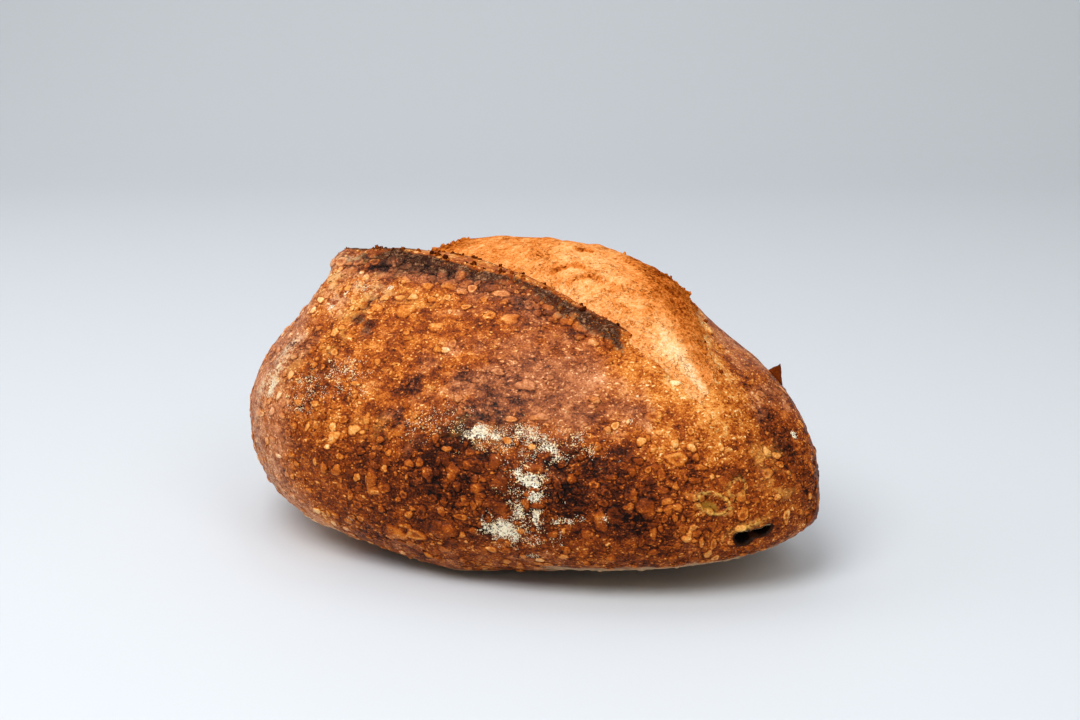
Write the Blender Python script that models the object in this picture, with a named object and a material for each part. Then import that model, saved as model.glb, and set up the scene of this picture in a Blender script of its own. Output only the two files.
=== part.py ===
"""A whole sourdough loaf, one solid: an oval loaf with a flat base, a raised ear along
its score, and the swollen belly that opened behind the ear.

X runs along the loaf, -Y is the side the ear stands on, and Z is up. The surface is a
UV sphere whose rings become cross-sections of the loaf and whose segments become the
zones of each section: near crust, ear lip, undercut, belly, far crust, base.

`along` runs from -1 at the blunt end to +1 at the pointed end. `turn` is the angle
round a section: -90 degrees at the middle of the base, 0 at the near side, 90 degrees
at the top and 180 degrees at the far side."""

import math

import bmesh
import bpy
from mathutils import Vector

NAME = "loaf"

# Body, in metres
LENGTH = 0.256
NEAR_HALF_WIDTH = 0.0856
FAR_HALF_WIDTH = 0.0857
CROWN_HEIGHT = 0.1139
CROWN_SHIFT = {"blunt": 0.0261, "pointed": 0.0210}

# The height of the widest line of a section, at the middle and at each end
WAIST_HEIGHT = 0.0413
END_WAIST_HEIGHT = {"blunt": 0.0558, "pointed": 0.0314}

# How far each end of the base curls up off the table
END_LIFT = {"blunt": 0.0042, "pointed": 0.0093}
BASE_SINK = 0.002

# Where the loaf is at its widest and its tallest, and how it rounds off towards each
# end from there: a size falls as (1 - distance ** first) ** second
WIDEST = -0.216
WIDTH_TAPER = {"blunt": (2.457, 0.413), "pointed": (1.995, 0.633)}
TALLEST = -0.120
HEIGHT_TAPER = {"blunt": (2.669, 0.461), "pointed": (1.889, 0.507)}

# Section roundness: 1 gives an ellipse, less gives a fuller shape
NEAR_FULLNESS = 1.27
FAR_FULLNESS = 0.89
LOW_FULLNESS = 0.61

# Score: its line over the top of the loaf, as Y against `along`
SCORE_START = -0.83
SCORE_END = 0.73
SCORE_FADE = 0.38
SCORE_Y = -0.0164
SCORE_SLOPE = -0.0103
SCORE_CURVE = -0.0021

# Ear: the crust raised along the near side of the score
EAR_RISE = 0.16
EAR_HEIGHT = 0.0123
EAR_CENTRE = -0.620
EAR_SPREAD = 0.711
EAR_REACH = 0.45
EAR_SINK = 0.45
LIP_END = 0.47
LIP_FADE = 0.42
LIP_WIDTH = 0.010
LIP_END_WIDTH = 0.00325
LIP_NARROWS = (-0.35, 0.55)
LIP_SLOPE = 0.12
LIP_OVERHANG = 0.002
UNDERCUT = 0.0065
KNOB_HEIGHT = 0.0052
KNOB_CENTRE = SCORE_START + 0.10
KNOB_SPREAD = 0.07
KNOB_REACH = 0.25

# Belly: the crumb that rose through the score
BELLY_START = -0.66
BELLY_RISE = 0.30
BELLY_WIDTH = 0.0573
BELLY_CLOSED_SHARE = 0.10
BELLY_BULGE = 0.0093
BELLY_CENTRE = 0.229
BELLY_SPREAD = 0.732
FOLD_REACH = 0.16

# The turn that the lip, and then the undercut, takes up where the score is shut
SHUT_TURN = 0.03

# The shallow valley that divides the belly from the far crust, towards the pointed end
VALLEY_DEPTH = 0.0032
VALLEY_CENTRE = 0.647
VALLEY_SPREAD = 0.22
VALLEY_REACH = 0.50

# Mesh: sections along the loaf, and the steps in each zone round a section
SECTIONS = 84
NEAR_STEPS = 22
LIP_STEPS = 2
UNDERCUT_STEPS = 2
BELLY_STEPS = 10
FAR_STEPS = 15
BASE_STEPS = 7
BASE_CENTRE = -math.pi / 2
BASE_FAR_EDGE = math.radians(200)

CRUST_COLOUR = (0.32, 0.12, 0.05, 1.0)


def ease(start, end, value):
    """0 before start, 1 after end, and a smooth step between them."""
    share = min(max((value - start) / (end - start), 0.0), 1.0)
    return share * share * (3 - 2 * share)


def bump(value, centre, spread):
    return math.exp(-(((value - centre) / spread) ** 2))


def end_of(along, middle=0.0):
    return "blunt" if along < middle else "pointed"


def taper(along, middle, shapes):
    """The share of a size that is left at `along`: 1 at the middle and 0 at each end."""
    end = end_of(along, middle)
    reach = 1 + middle if end == "blunt" else 1 - middle
    power, root = shapes[end]
    return max(1 - (abs(along - middle) / reach) ** power, 0.0) ** root


def width_share(along):
    return taper(along, WIDEST, WIDTH_TAPER)


def height_share(along):
    return taper(along, TALLEST, HEIGHT_TAPER)


def waist_height(along):
    end = END_WAIST_HEIGHT[end_of(along)]
    return WAIST_HEIGHT + (end - WAIST_HEIGHT) * ease(0, 1, abs(along))


def crown_shift(along):
    """How far the top of a section leans to the far side."""
    blunt, pointed = CROWN_SHIFT["blunt"], CROWN_SHIFT["pointed"]
    middle = (blunt + pointed) / 2 + (pointed - blunt) / 2 * along
    return middle * width_share(along)


def body_point(along, turn):
    """A point of the plain loaf, before the score opened."""
    across, up = math.cos(turn), math.sin(turn)
    height = height_share(along)
    waist = waist_height(along)
    half = (NEAR_HALF_WIDTH if across > 0 else FAR_HALF_WIDTH) * width_share(along)
    if up >= 0:
        shift = crown_shift(along)
        to_side = half + shift if across > 0 else half - shift
        fullness = NEAR_FULLNESS + (FAR_FULLNESS - NEAR_FULLNESS) * ease(-0.5, 0.5, -across)
        y = shift - to_side * across
        z = waist + (CROWN_HEIGHT - waist) * height * up**fullness
    else:
        lift = END_LIFT[end_of(along)] * abs(along) ** 3
        depth = (waist - lift + BASE_SINK) * height**LOW_FULLNESS
        y = -math.copysign(half * abs(across) ** LOW_FULLNESS, across)
        z = waist - depth * abs(up) ** LOW_FULLNESS
    return Vector((LENGTH / 2 * along, y, max(z, 0.0)))


def outward(along, turn):
    """The direction straight out of the plain section."""
    step = body_point(along, turn + 0.002) - body_point(along, turn - 0.002)
    return Vector((0, -step.z, step.y)).normalized()


def score_turn(along):
    """The turn at which the score crosses a section."""
    y = SCORE_Y + SCORE_SLOPE * along + SCORE_CURVE * along**2
    shift = crown_shift(along)
    half = NEAR_HALF_WIDTH * width_share(along)
    share = (shift - y) / (half + shift + 1e-6)
    return math.acos(min(max(share, -0.9), 0.9))


def ear_rise(along):
    return ease(SCORE_START, SCORE_START + EAR_RISE, along)


def lip_opening(along):
    """1 where the ear's lip stands free of the loaf, falling to 0 at both of its ends."""
    return ear_rise(along) * (1 - ease(LIP_END - LIP_FADE, LIP_END, along))


def belly_opening(along):
    """1 where the belly has its full width, falling to 0 at both of its ends."""
    start = ease(BELLY_START, BELLY_START + BELLY_RISE, along)
    return start * (1 - ease(SCORE_END - SCORE_FADE, SCORE_END, along))


def ear_height(along):
    standing = ear_rise(along) * (1 - ease(SCORE_END - EAR_SINK, SCORE_END, along))
    return EAR_HEIGHT * standing * bump(along, EAR_CENTRE, EAR_SPREAD)


def knob_height(along):
    return KNOB_HEIGHT * bump(along, KNOB_CENTRE, KNOB_SPREAD)


def lip_width(along):
    return LIP_WIDTH + (LIP_END_WIDTH - LIP_WIDTH) * ease(*LIP_NARROWS, along)


def near_crust(along, share):
    """From the middle of the base up the near side to the ridge of the ear."""
    whole = score_turn(along) - BASE_CENTRE
    turn = BASE_CENTRE + whole * share
    below = whole * (1 - share)
    rise = ear_height(along) * math.exp(-((below / EAR_REACH) ** 1.3))
    rise += knob_height(along) * bump(below, 0, KNOB_REACH)
    return body_point(along, turn) + outward(along, turn) * rise


def lip_edge(along):
    """The far edge of the ear's lip, which lies on the plain loaf where the score is shut."""
    out = Vector((0, 1, -LIP_SLOPE)) * lip_width(along)
    shut = body_point(along, score_turn(along) + SHUT_TURN)
    return shut.lerp(near_crust(along, 1.0) + out, lip_opening(along))


def groove(along):
    """The bottom of the fold between the ear and the belly."""
    opening = lip_opening(along)
    shut = body_point(along, score_turn(along) + 2 * SHUT_TURN)
    under = lip_edge(along) + Vector((0, -LIP_OVERHANG, -UNDERCUT * opening))
    return shut.lerp(under, opening)


def lip(along, share):
    return near_crust(along, 1.0).lerp(lip_edge(along), share)


def undercut(along, share):
    return lip_edge(along).lerp(groove(along), share)


def belly_edges(along):
    """The turns at which the belly starts and ends."""
    ridge = score_turn(along)
    start = ridge + 2 * SHUT_TURN + lip_width(along) / NEAR_HALF_WIDTH * lip_opening(along)
    width = BELLY_CLOSED_SHARE + (1 - BELLY_CLOSED_SHARE) * belly_opening(along)
    return start, ridge + 4 * SHUT_TURN + BELLY_WIDTH / NEAR_HALF_WIDTH * width


def belly(along, share):
    """From the groove over the top of the loaf to the belly's far edge."""
    start, end = belly_edges(along)
    turn = start + (end - start) * share
    swell = BELLY_BULGE * belly_opening(along) * bump(along, BELLY_CENTRE, BELLY_SPREAD)
    swell *= math.sin(math.pi * share**0.8) ** 0.9
    fold = groove(along) - body_point(along, start)
    point = body_point(along, turn) + outward(along, turn) * swell
    return point + fold * math.exp(-share / FOLD_REACH)


def far_crust(along, share):
    """From the belly down the far side to where the base begins."""
    start = belly_edges(along)[1]
    turn = start + (BASE_FAR_EDGE - start) * share
    valley = VALLEY_DEPTH * bump(along, VALLEY_CENTRE, VALLEY_SPREAD)
    valley *= bump(turn, start, VALLEY_REACH) * ease(0, 0.15, share)
    return body_point(along, turn) - outward(along, turn) * valley


def base(along, share):
    return body_point(along, BASE_FAR_EDGE + (1.5 * math.pi - BASE_FAR_EDGE) * share)


ZONES = (
    (near_crust, NEAR_STEPS),
    (lip, LIP_STEPS),
    (undercut, UNDERCUT_STEPS),
    (belly, BELLY_STEPS),
    (far_crust, FAR_STEPS),
    (base, BASE_STEPS),
)
SEGMENTS = sum(steps for _, steps in ZONES)


def loaf_point(along, segment):
    """The point that a segment of the sphere moves to in the section at `along`."""
    for zone, steps in ZONES:
        if segment < steps:
            return zone(along, segment / steps)
        segment -= steps
    raise ValueError("no such segment")


def shape_sphere(mesh):
    """Moves each vertex of a unit sphere, whose poles lie on Z, to its place on the loaf."""
    for vertex in mesh.verts:
        along = min(max(vertex.co.z, -1.0), 1.0)
        if abs(along) > 1 - 1e-6:
            vertex.co = body_point(math.copysign(1.0, along), 0.0)
            continue
        angle = math.atan2(vertex.co.y, vertex.co.x) % (2 * math.pi)
        segment = round(angle / (2 * math.pi) * SEGMENTS) % SEGMENTS
        vertex.co = loaf_point(along, segment)


def crust_material():
    material = bpy.data.materials.new("crust")
    material.use_nodes = True
    shader = material.node_tree.nodes["Principled BSDF"]
    shader.inputs["Base Color"].default_value = CRUST_COLOUR
    shader.inputs["Roughness"].default_value = 0.6
    return material


def build_loaf(collection):
    mesh = bmesh.new()
    bmesh.ops.create_uvsphere(mesh, u_segments=SEGMENTS, v_segments=SECTIONS, radius=1.0)
    shape_sphere(mesh)
    bmesh.ops.recalc_face_normals(mesh, faces=mesh.faces)
    data = bpy.data.meshes.new(NAME)
    mesh.to_mesh(data)
    mesh.free()
    data.shade_smooth()
    data.materials.append(crust_material())
    collection.objects.link(bpy.data.objects.new(NAME, data))


def main():
    for obj in list(bpy.data.objects):
        bpy.data.objects.remove(obj)
    collection = bpy.data.collections.new("sourdough_loaf")
    bpy.context.scene.collection.children.link(collection)
    build_loaf(collection)


main()
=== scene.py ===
"""Looks of the sourdough loaf.

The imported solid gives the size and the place. This script makes the crust again on a fine
grid, with the solid's own section formulas, and sculpts its unevenness, folds, bubble and
tear into it. Blisters, flour, crumbs and a loose flake of crust are mesh on top of it.

`along` runs from -1 at the blunt end to +1 at the pointed end. `turn` is the angle round a
section: -90 degrees at the middle of the base, 0 at the near side (-Y) and 90 at the top."""

import math

import bmesh
import bpy
import numpy as np
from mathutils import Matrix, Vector, noise


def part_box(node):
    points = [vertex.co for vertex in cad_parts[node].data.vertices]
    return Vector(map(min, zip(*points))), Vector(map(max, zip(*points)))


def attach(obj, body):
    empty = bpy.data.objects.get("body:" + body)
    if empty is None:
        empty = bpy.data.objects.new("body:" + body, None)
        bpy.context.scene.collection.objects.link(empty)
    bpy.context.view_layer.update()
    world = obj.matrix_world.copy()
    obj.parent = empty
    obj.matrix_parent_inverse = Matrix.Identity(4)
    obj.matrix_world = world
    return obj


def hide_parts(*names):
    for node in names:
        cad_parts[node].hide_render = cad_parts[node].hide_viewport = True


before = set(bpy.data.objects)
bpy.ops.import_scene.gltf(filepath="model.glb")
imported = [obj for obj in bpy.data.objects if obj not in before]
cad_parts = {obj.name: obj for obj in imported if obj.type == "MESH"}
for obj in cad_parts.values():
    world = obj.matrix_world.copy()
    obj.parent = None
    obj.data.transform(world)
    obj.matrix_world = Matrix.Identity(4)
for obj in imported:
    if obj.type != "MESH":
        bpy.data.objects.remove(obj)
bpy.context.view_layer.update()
LOW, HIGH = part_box("loaf")
LENGTH = HIGH.x - LOW.x
MM = LENGTH / 256  # one millimetre of the loaf
RANDOM = np.random.default_rng(7)
noise.seed_set(7)  # for the flake's ragged edge

# Body, as the solid has it
NEAR_HALF_WIDTH = 85.6 * MM
FAR_HALF_WIDTH = 85.7 * MM
CROWN_HEIGHT = 113.9 * MM
CROWN_SHIFT = (26.1 * MM, 21.0 * MM)
WAIST_HEIGHT = 41.3 * MM
END_WAIST_HEIGHT = (55.8 * MM, 31.4 * MM)
END_LIFT = (4.2 * MM, 9.3 * MM)
BASE_SINK = 2 * MM
WIDEST = -0.216
WIDTH_TAPER = ((2.457, 0.413), (1.995, 0.633))
TALLEST = -0.120
HEIGHT_TAPER = ((2.669, 0.461), (1.889, 0.507))
NEAR_FULLNESS = 1.27
FAR_FULLNESS = 0.89
LOW_FULLNESS = 0.61

# Score, ear and belly, as the solid has them
SCORE_START = -0.83
SCORE_END = 0.73
SCORE_FADE = 0.38
SCORE_LINE = (-16.4 * MM, -10.3 * MM, -2.1 * MM)
EAR_RISE = 0.16
EAR_HEIGHT = 12.3 * MM
EAR_CENTRE = -0.620
EAR_SPREAD = 0.711
EAR_REACH = 0.45
EAR_SINK = 0.45
LIP_END = 0.47
LIP_FADE = 0.42
LIP_WIDTH = 10.0 * MM
LIP_END_WIDTH = 3.25 * MM
LIP_NARROWS = (-0.35, 0.55)
LIP_SLOPE = 0.12
STRIP_RISE = 0.20  # how much the strip behind the ear tips up towards the camera
LIP_OVERHANG = 2.0 * MM
UNDERCUT = 6.5 * MM
KNOB_HEIGHT = 5.2 * MM
KNOB_CENTRE = SCORE_START + 0.10
KNOB_SPREAD = 0.07
KNOB_REACH = 0.25
BELLY_START = -0.66
BELLY_RISE = 0.30
BELLY_WIDTH = 57.3 * MM
BELLY_CLOSED_SHARE = 0.10
BELLY_BULGE = 9.3 * MM
BELLY_CENTRE = 0.229
BELLY_SPREAD = 0.732
FOLD_REACH = 0.16
SHUT_TURN = 0.03
VALLEY_DEPTH = 3.2 * MM
VALLEY_CENTRE = 0.647
VALLEY_SPREAD = 0.22
VALLEY_REACH = 0.50

# Fine grid: sections, and the steps in each zone round a section
SECTIONS = 330
BASE_NEAR_STEPS = 12
NEAR_STEPS = 136
LIP_STEPS = 5
UNDERCUT_STEPS = 5
BELLY_STEPS = 72
FAR_STEPS = 58
BASE_FAR_STEPS = 12
BASE_SHARE = 0.156  # how much of the near crust's turn lies under the loaf
BASE_CENTRE = -math.pi / 2
BASE_FAR_EDGE = math.radians(200)
ZONES = ("near", "lip", "undercut", "belly", "far", "base")

# Knob at the start of the ear, and the dent under it, in mm
KNOB_BULGE = (-93, -17, 112)
KNOB_HOLLOW = (-97, -25, 101.5)

# Loose flake of crust at the pointed end: both ends of its root and its free corner, in mm
FLAKE_HIGH = (96.4, 21.4, 79.0)
FLAKE_LOW = (102.3, 22.9, 72.6)
FLAKE_CORNER = (100.2, 23.9, 81.6)
FLAKE_THICKNESS = 0.6 * MM
FLAKE_CURL = 1.5 * MM
FLAKE_RAGGEDNESS = 0.7 * MM
FLAKE_STEPS = 6

# How many scattered things: places tried for blisters, then those kept, the largest first
BLISTER_TRIES = 9000
WIDE_BLISTERS = 1000
SMALL_BLISTERS = 2300
BLISTER_SPACING = 0.88  # of both radii together
RINGED_CHANCE = 0.22
FLOUR_GRAINS = 6000
CRUMBS = 1900

# Domes of the blisters: how many sides, and their rings as shares of the radius
DOMES = {
    "big_blisters": (22, (0.25, 0.48, 0.68, 0.84, 0.95, 1.06, 1.18, 1.34)),
    "blisters": (12, (0.4, 0.7, 0.92, 1.06, 1.18, 1.34)),
    "small_blisters": (8, (0.6, 0.95, 1.12, 1.34)),
}

PAST_SCORE = 95 * MM  # beyond this x the far crust shows too

# Camera: the view that the loaf is shown from
CAMERA_AZIMUTH = 31.2
CAMERA_ELEVATION = 15.05
CAMERA_DISTANCE = 762.6 * MM
CAMERA_AIM = Vector((0.9 * MM, 0, 74.8 * MM))
LENS = 60
SENSOR_WIDTH = 36

# Stage, in metres: the floor's half width, its front, where it bends up, the bend and the top
FLOOR_HALF_WIDTH = 2.6
FLOOR_FRONT = -1.6
FLOOR_BACK = 0.9
FLOOR_BEND = 0.7
FLOOR_BEND_STEPS = 12
BACKDROP_TOP = 2.4
FLOOR_DROP = 0.0002  # keeps the floor just under the loaf

# Lights: name, place and diameter in metres, power in watts
ROOM_LIGHT = 0.25
LIGHTS = (
    ("ceiling", (0, 0.45, 2.0), 2.4, 9.0),
    ("back", (-0.55, 0.30, 1.25), 1.1, 3.0),
    ("front", (0.02, -0.92, 1.28), 1.0, 18.5),
    ("right", (0.95, -0.45, 1.10), 0.8, 4.5),
    ("left", (-1.05, -0.45, 0.80), 0.8, 3.0),
)
LIGHT_AIM = Vector((0, 0, 0.05))


def camera_side():
    """The direction from the loaf to the camera."""
    azimuth, elevation = math.radians(CAMERA_AZIMUTH), math.radians(CAMERA_ELEVATION)
    level = math.cos(elevation)
    return Vector((math.sin(azimuth) * level, -math.cos(azimuth) * level, math.sin(elevation)))


def ease(start, end, value):
    """0 before start, 1 after end, and a smooth step between them."""
    share = np.clip((value - start) / (end - start), 0, 1)
    return share * share * (3 - 2 * share)


def bump(value, centre, spread):
    return np.exp(-(((value - centre) / spread) ** 2))


def by_end(along, pair, middle=0.0):
    """The first of the pair towards the blunt end, the second towards the pointed end."""
    return np.where(along < middle, pair[0], pair[1])


def taper(along, middle, shapes):
    reach = by_end(along, (1 + middle, 1 - middle), middle)
    power = by_end(along, (shapes[0][0], shapes[1][0]), middle)
    root = by_end(along, (shapes[0][1], shapes[1][1]), middle)
    return np.maximum(1 - (np.abs(along - middle) / reach) ** power, 1e-9) ** root


def crown_shift(along):
    blunt, pointed = CROWN_SHIFT
    middle = (blunt + pointed) / 2 + (pointed - blunt) / 2 * along
    return middle * taper(along, WIDEST, WIDTH_TAPER)


def body_point(along, turn):
    """Points of the plain loaf, before the score opened."""
    across, up = np.cos(turn), np.sin(turn)
    height = taper(along, TALLEST, HEIGHT_TAPER)
    end_waist = by_end(along, END_WAIST_HEIGHT)
    waist = WAIST_HEIGHT + (end_waist - WAIST_HEIGHT) * ease(0, 1, np.abs(along))
    half = np.where(across > 0, NEAR_HALF_WIDTH, FAR_HALF_WIDTH)
    half = half * taper(along, WIDEST, WIDTH_TAPER)
    shift = crown_shift(along)
    to_side = np.where(across > 0, half + shift, half - shift)
    fullness = NEAR_FULLNESS + (FAR_FULLNESS - NEAR_FULLNESS) * ease(-0.5, 0.5, -across)
    high_y = shift - to_side * across
    high_z = waist + (CROWN_HEIGHT - waist) * height * np.abs(up) ** fullness
    lift = by_end(along, END_LIFT) * np.abs(along) ** 3
    depth = (waist - lift + BASE_SINK) * height**LOW_FULLNESS
    low_y = -np.sign(across) * half * np.abs(across) ** LOW_FULLNESS
    low_z = np.maximum(waist - depth * np.abs(up) ** LOW_FULLNESS, 0)
    y = np.where(up >= 0, high_y, low_y)
    z = np.where(up >= 0, high_z, low_z)
    return np.stack([LENGTH / 2 * along + 0 * y, y, z], -1)


def outward(along, turn):
    step = body_point(along, turn + 0.002) - body_point(along, turn - 0.002)
    normal = np.stack([0 * step[..., 0], -step[..., 2], step[..., 1]], -1)
    return normal / (np.linalg.norm(normal, axis=-1, keepdims=True) + 1e-12)


def score_turn(along):
    y = SCORE_LINE[0] + SCORE_LINE[1] * along + SCORE_LINE[2] * along**2
    shift = crown_shift(along)
    half = NEAR_HALF_WIDTH * taper(along, WIDEST, WIDTH_TAPER)
    return np.arccos(np.clip((shift - y) / (half + shift + 1e-6), -0.9, 0.9))


def ear_rise(along):
    return ease(SCORE_START, SCORE_START + EAR_RISE, along)


def lip_opening(along):
    return ear_rise(along) * (1 - ease(LIP_END - LIP_FADE, LIP_END, along))


def belly_opening(along):
    start = ease(BELLY_START, BELLY_START + BELLY_RISE, along)
    return start * (1 - ease(SCORE_END - SCORE_FADE, SCORE_END, along))


def lip_width(along):
    return LIP_WIDTH + (LIP_END_WIDTH - LIP_WIDTH) * ease(*LIP_NARROWS, along)


def blend(first, second, share):
    share = np.asarray(share)[..., None]
    return first * (1 - share) + second * share


def near_crust(along, share):
    whole = score_turn(along) - BASE_CENTRE
    turn = BASE_CENTRE + whole * share
    below = whole * (1 - share)
    standing = ear_rise(along) * (1 - ease(SCORE_END - EAR_SINK, SCORE_END, along))
    rise = EAR_HEIGHT * standing * bump(along, EAR_CENTRE, EAR_SPREAD)
    rise = rise * np.exp(-((below / EAR_REACH) ** 1.3))
    rise = rise + KNOB_HEIGHT * bump(along, KNOB_CENTRE, KNOB_SPREAD) * bump(below, 0, KNOB_REACH)
    return body_point(along, turn) + outward(along, turn) * rise[..., None]


def lip_edge(along):
    rise = STRIP_RISE * ease(-0.42, -0.25, along) * (1 - ease(0.20, 0.42, along)) - LIP_SLOPE
    out = np.stack([0 * along, 1 + 0 * along, rise], -1) * lip_width(along)[..., None]
    shut = body_point(along, score_turn(along) + SHUT_TURN)
    return blend(shut, near_crust(along, 1.0) + out, lip_opening(along))


def groove(along):
    opening = lip_opening(along)
    shut = body_point(along, score_turn(along) + 2 * SHUT_TURN)
    down = np.stack([0 * opening, -LIP_OVERHANG + 0 * opening, -UNDERCUT * opening], -1)
    return blend(shut, lip_edge(along) + down, opening)


def belly_edges(along):
    ridge = score_turn(along)
    start = ridge + 2 * SHUT_TURN + lip_width(along) / NEAR_HALF_WIDTH * lip_opening(along)
    width = BELLY_CLOSED_SHARE + (1 - BELLY_CLOSED_SHARE) * belly_opening(along)
    return start, ridge + 4 * SHUT_TURN + BELLY_WIDTH / NEAR_HALF_WIDTH * width


def belly(along, share):
    start, end = belly_edges(along)
    turn = start + (end - start) * share
    swell = BELLY_BULGE * belly_opening(along) * bump(along, BELLY_CENTRE, BELLY_SPREAD)
    swell = swell * np.sin(np.pi * share**0.8) ** 0.9
    fold = groove(along) - body_point(along, start)
    point = body_point(along, turn) + outward(along, turn) * swell[..., None]
    return point + fold * np.exp(-share / FOLD_REACH)[..., None]


def far_crust(along, share):
    start = belly_edges(along)[1]
    turn = start + (BASE_FAR_EDGE - start) * share
    valley = VALLEY_DEPTH * bump(along, VALLEY_CENTRE, VALLEY_SPREAD)
    valley = valley * bump(turn, start, VALLEY_REACH) * ease(0, 0.15, share)
    return body_point(along, turn) - outward(along, turn) * valley[..., None]


def base(along, share):
    return body_point(along, BASE_FAR_EDGE + (1.5 * np.pi - BASE_FAR_EDGE) * share)


def lip(along, share):
    return blend(near_crust(along, 1.0 + 0 * share), lip_edge(along) + 0 * share[..., None], share)


def undercut(along, share):
    return blend(lip_edge(along) + 0 * share[..., None], groove(along), share)


def station_values():
    """Places along the loaf for the fine sections, closest together at both ends."""
    step = np.linspace(-1, 1, SECTIONS + 1)[1:-1]
    return np.sin(np.pi / 2 * (0.8 * step + 0.2 * step**3))


def zone_columns():
    """For each column of the grid, its zone and its share of that zone."""
    under = np.linspace(0, BASE_SHARE, BASE_NEAR_STEPS, endpoint=False)
    side = np.linspace(BASE_SHARE, 1, NEAR_STEPS, endpoint=False)
    columns = [("near", np.concatenate([under, side]))]
    steps = (LIP_STEPS, UNDERCUT_STEPS, BELLY_STEPS, FAR_STEPS, BASE_FAR_STEPS)
    for name, count in zip(ZONES[1:], steps):
        columns.append((name, np.linspace(0, 1, count, endpoint=False)))
    return columns


def fine_grid():
    """Points of the grid, and each point's `along`, zone number and share of its zone."""
    makers = {
        "near": near_crust,
        "lip": lip,
        "undercut": undercut,
        "belly": belly,
        "far": far_crust,
        "base": base,
    }
    stations = station_values()[:, None]
    points, zones, shares = [], [], []
    for name, values in zone_columns():
        share = np.broadcast_to(values, (len(stations), len(values)))
        points.append(makers[name](stations + 0 * share, share))
        zones.append(np.full(share.shape, ZONES.index(name)))
        shares.append(share)
    along = np.broadcast_to(stations, (len(stations), sum(z.shape[1] for z in zones)))
    return np.concatenate(points, 1), along, np.concatenate(zones, 1), np.concatenate(shares, 1)


def grid_normals(points):
    """Outward normals of the closed grid."""
    down = np.gradient(points, axis=0)
    around = np.roll(points, -1, 1) - np.roll(points, 1, 1)
    normal = np.cross(down, around)
    return normal / (np.linalg.norm(normal, axis=-1, keepdims=True) + 1e-12)


def field(points, size, seed, octaves=3):
    """Smooth noise, mostly between -1 and 1, that varies over `size`."""
    shift = Vector((seed * 7.13, seed * 3.37, seed * 5.71))
    flat = np.asarray(points).reshape(-1, 3) / size
    values = [noise.fractal(Vector(p) + shift, 1.0, 2.0, octaves) for p in flat]
    return np.array(values).reshape(np.shape(points)[:-1])


class Loaf:
    """The fine grid of the loaf, and the marks on it that its material reads."""

    def __init__(self):
        self.points, self.along, self.zone, self.share = fine_grid()
        self.normals = grid_normals(self.points)
        self.marks = {}

    def is_in(self, *names):
        return np.isin(self.zone, [ZONES.index(name) for name in names])

    def near_or_past(self):
        """The near crust, and everything past the score."""
        return self.is_in("near") | (self.points[..., 0] > PAST_SCORE)

    def side_view(self):
        """Each point's x and z in millimetres."""
        return self.points[..., 0] / MM, self.points[..., 2] / MM

    def lift(self, height):
        """Moves the surface straight up."""
        self.points[..., 2] += height
        self.normals = grid_normals(self.points)

    def smooth(self, share, rounds):
        """Evens out each section, by that share of the way in each round."""
        for _ in range(rounds):
            beside = (np.roll(self.points, 1, 1) + np.roll(self.points, -1, 1)) / 2
            self.points = blend(self.points, beside, share)
        self.normals = grid_normals(self.points)

    def push(self, height):
        """Moves the surface out along its normals, except where it rests on the table."""
        keep = ease(0, 5 * MM, self.points[..., 2])
        self.points = self.points + self.normals * (height * keep)[..., None]
        self.points[..., 2] = np.maximum(self.points[..., 2], 0)
        self.normals = grid_normals(self.points)

    def ridge_gap(self):
        """How far each point is from the ridge of the ear, round its section."""
        steps = np.linalg.norm(np.diff(self.points, axis=1), axis=-1)
        reach = np.concatenate([np.zeros((len(steps), 1)), np.cumsum(steps, 1)], 1)
        ridge = BASE_NEAR_STEPS + NEAR_STEPS
        return reach - reach[:, ridge : ridge + 1]

    def shown(self):
        """Where the crust is seen: the near side, and all that faces the camera past the score."""
        near = self.is_in("near") & (self.share > BASE_SHARE)
        past = (self.points[..., 0] > PAST_SCORE) & (self.normals @ np.array(camera_side()) > 0.35)
        return near | past

    def near_spot(self, x, z):
        """The point of the crust that is seen at x and z millimetres."""
        gap = (self.points[..., 0] - x * MM) ** 2 + (self.points[..., 2] - z * MM) ** 2
        return np.unravel_index(np.argmin(np.where(self.shown(), gap, np.inf)), gap.shape)

    def oval(self, x, z, half_length, half_height, tilt=0.0):
        """Distance from a spot of the near crust, 1 at the rim of an oval of that size in
        millimetres. A positive tilt lifts the oval's right end, in degrees."""
        spot = self.near_spot(x, z)
        normal = self.normals[spot]
        side = np.cross([0, 0, 1], normal) * np.sign(-normal[1])
        side = side / np.linalg.norm(side)
        rise = np.cross(side, -normal)
        gap = self.points - self.points[spot]
        turn = math.radians(tilt)
        first = gap @ (side * math.cos(turn) + rise * math.sin(turn))
        second = gap @ (rise * math.cos(turn) - side * math.sin(turn))
        third = gap @ normal / (12 * MM)
        first, second = first / half_length / MM, second / half_height / MM
        return np.sqrt(first**2 + second**2 + third**2)

    def sample(self, values, rows, columns):
        """Values of the grid at places between its points."""
        rows = np.clip(rows, 0, values.shape[0] - 1.001)
        row, column = np.floor(rows).astype(int), np.floor(columns).astype(int)
        down, across = rows - row, columns - column
        if values.ndim == 3:
            down, across = down[..., None], across[..., None]
        count = values.shape[1]
        column, beside = column % count, (column + 1) % count
        upper = values[row, column] * (1 - across) + values[row, beside] * across
        lower = values[row + 1, column] * (1 - across) + values[row + 1, beside] * across
        return upper * (1 - down) + lower * down


def tint(red, green, blue):
    """A colour from its usual 0 to 255 values, as the linear values that nodes take."""
    levels = [((value / 255 + 0.055) / 1.055) ** 2.4 for value in (red, green, blue)]
    return (*levels, 1.0)


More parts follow.
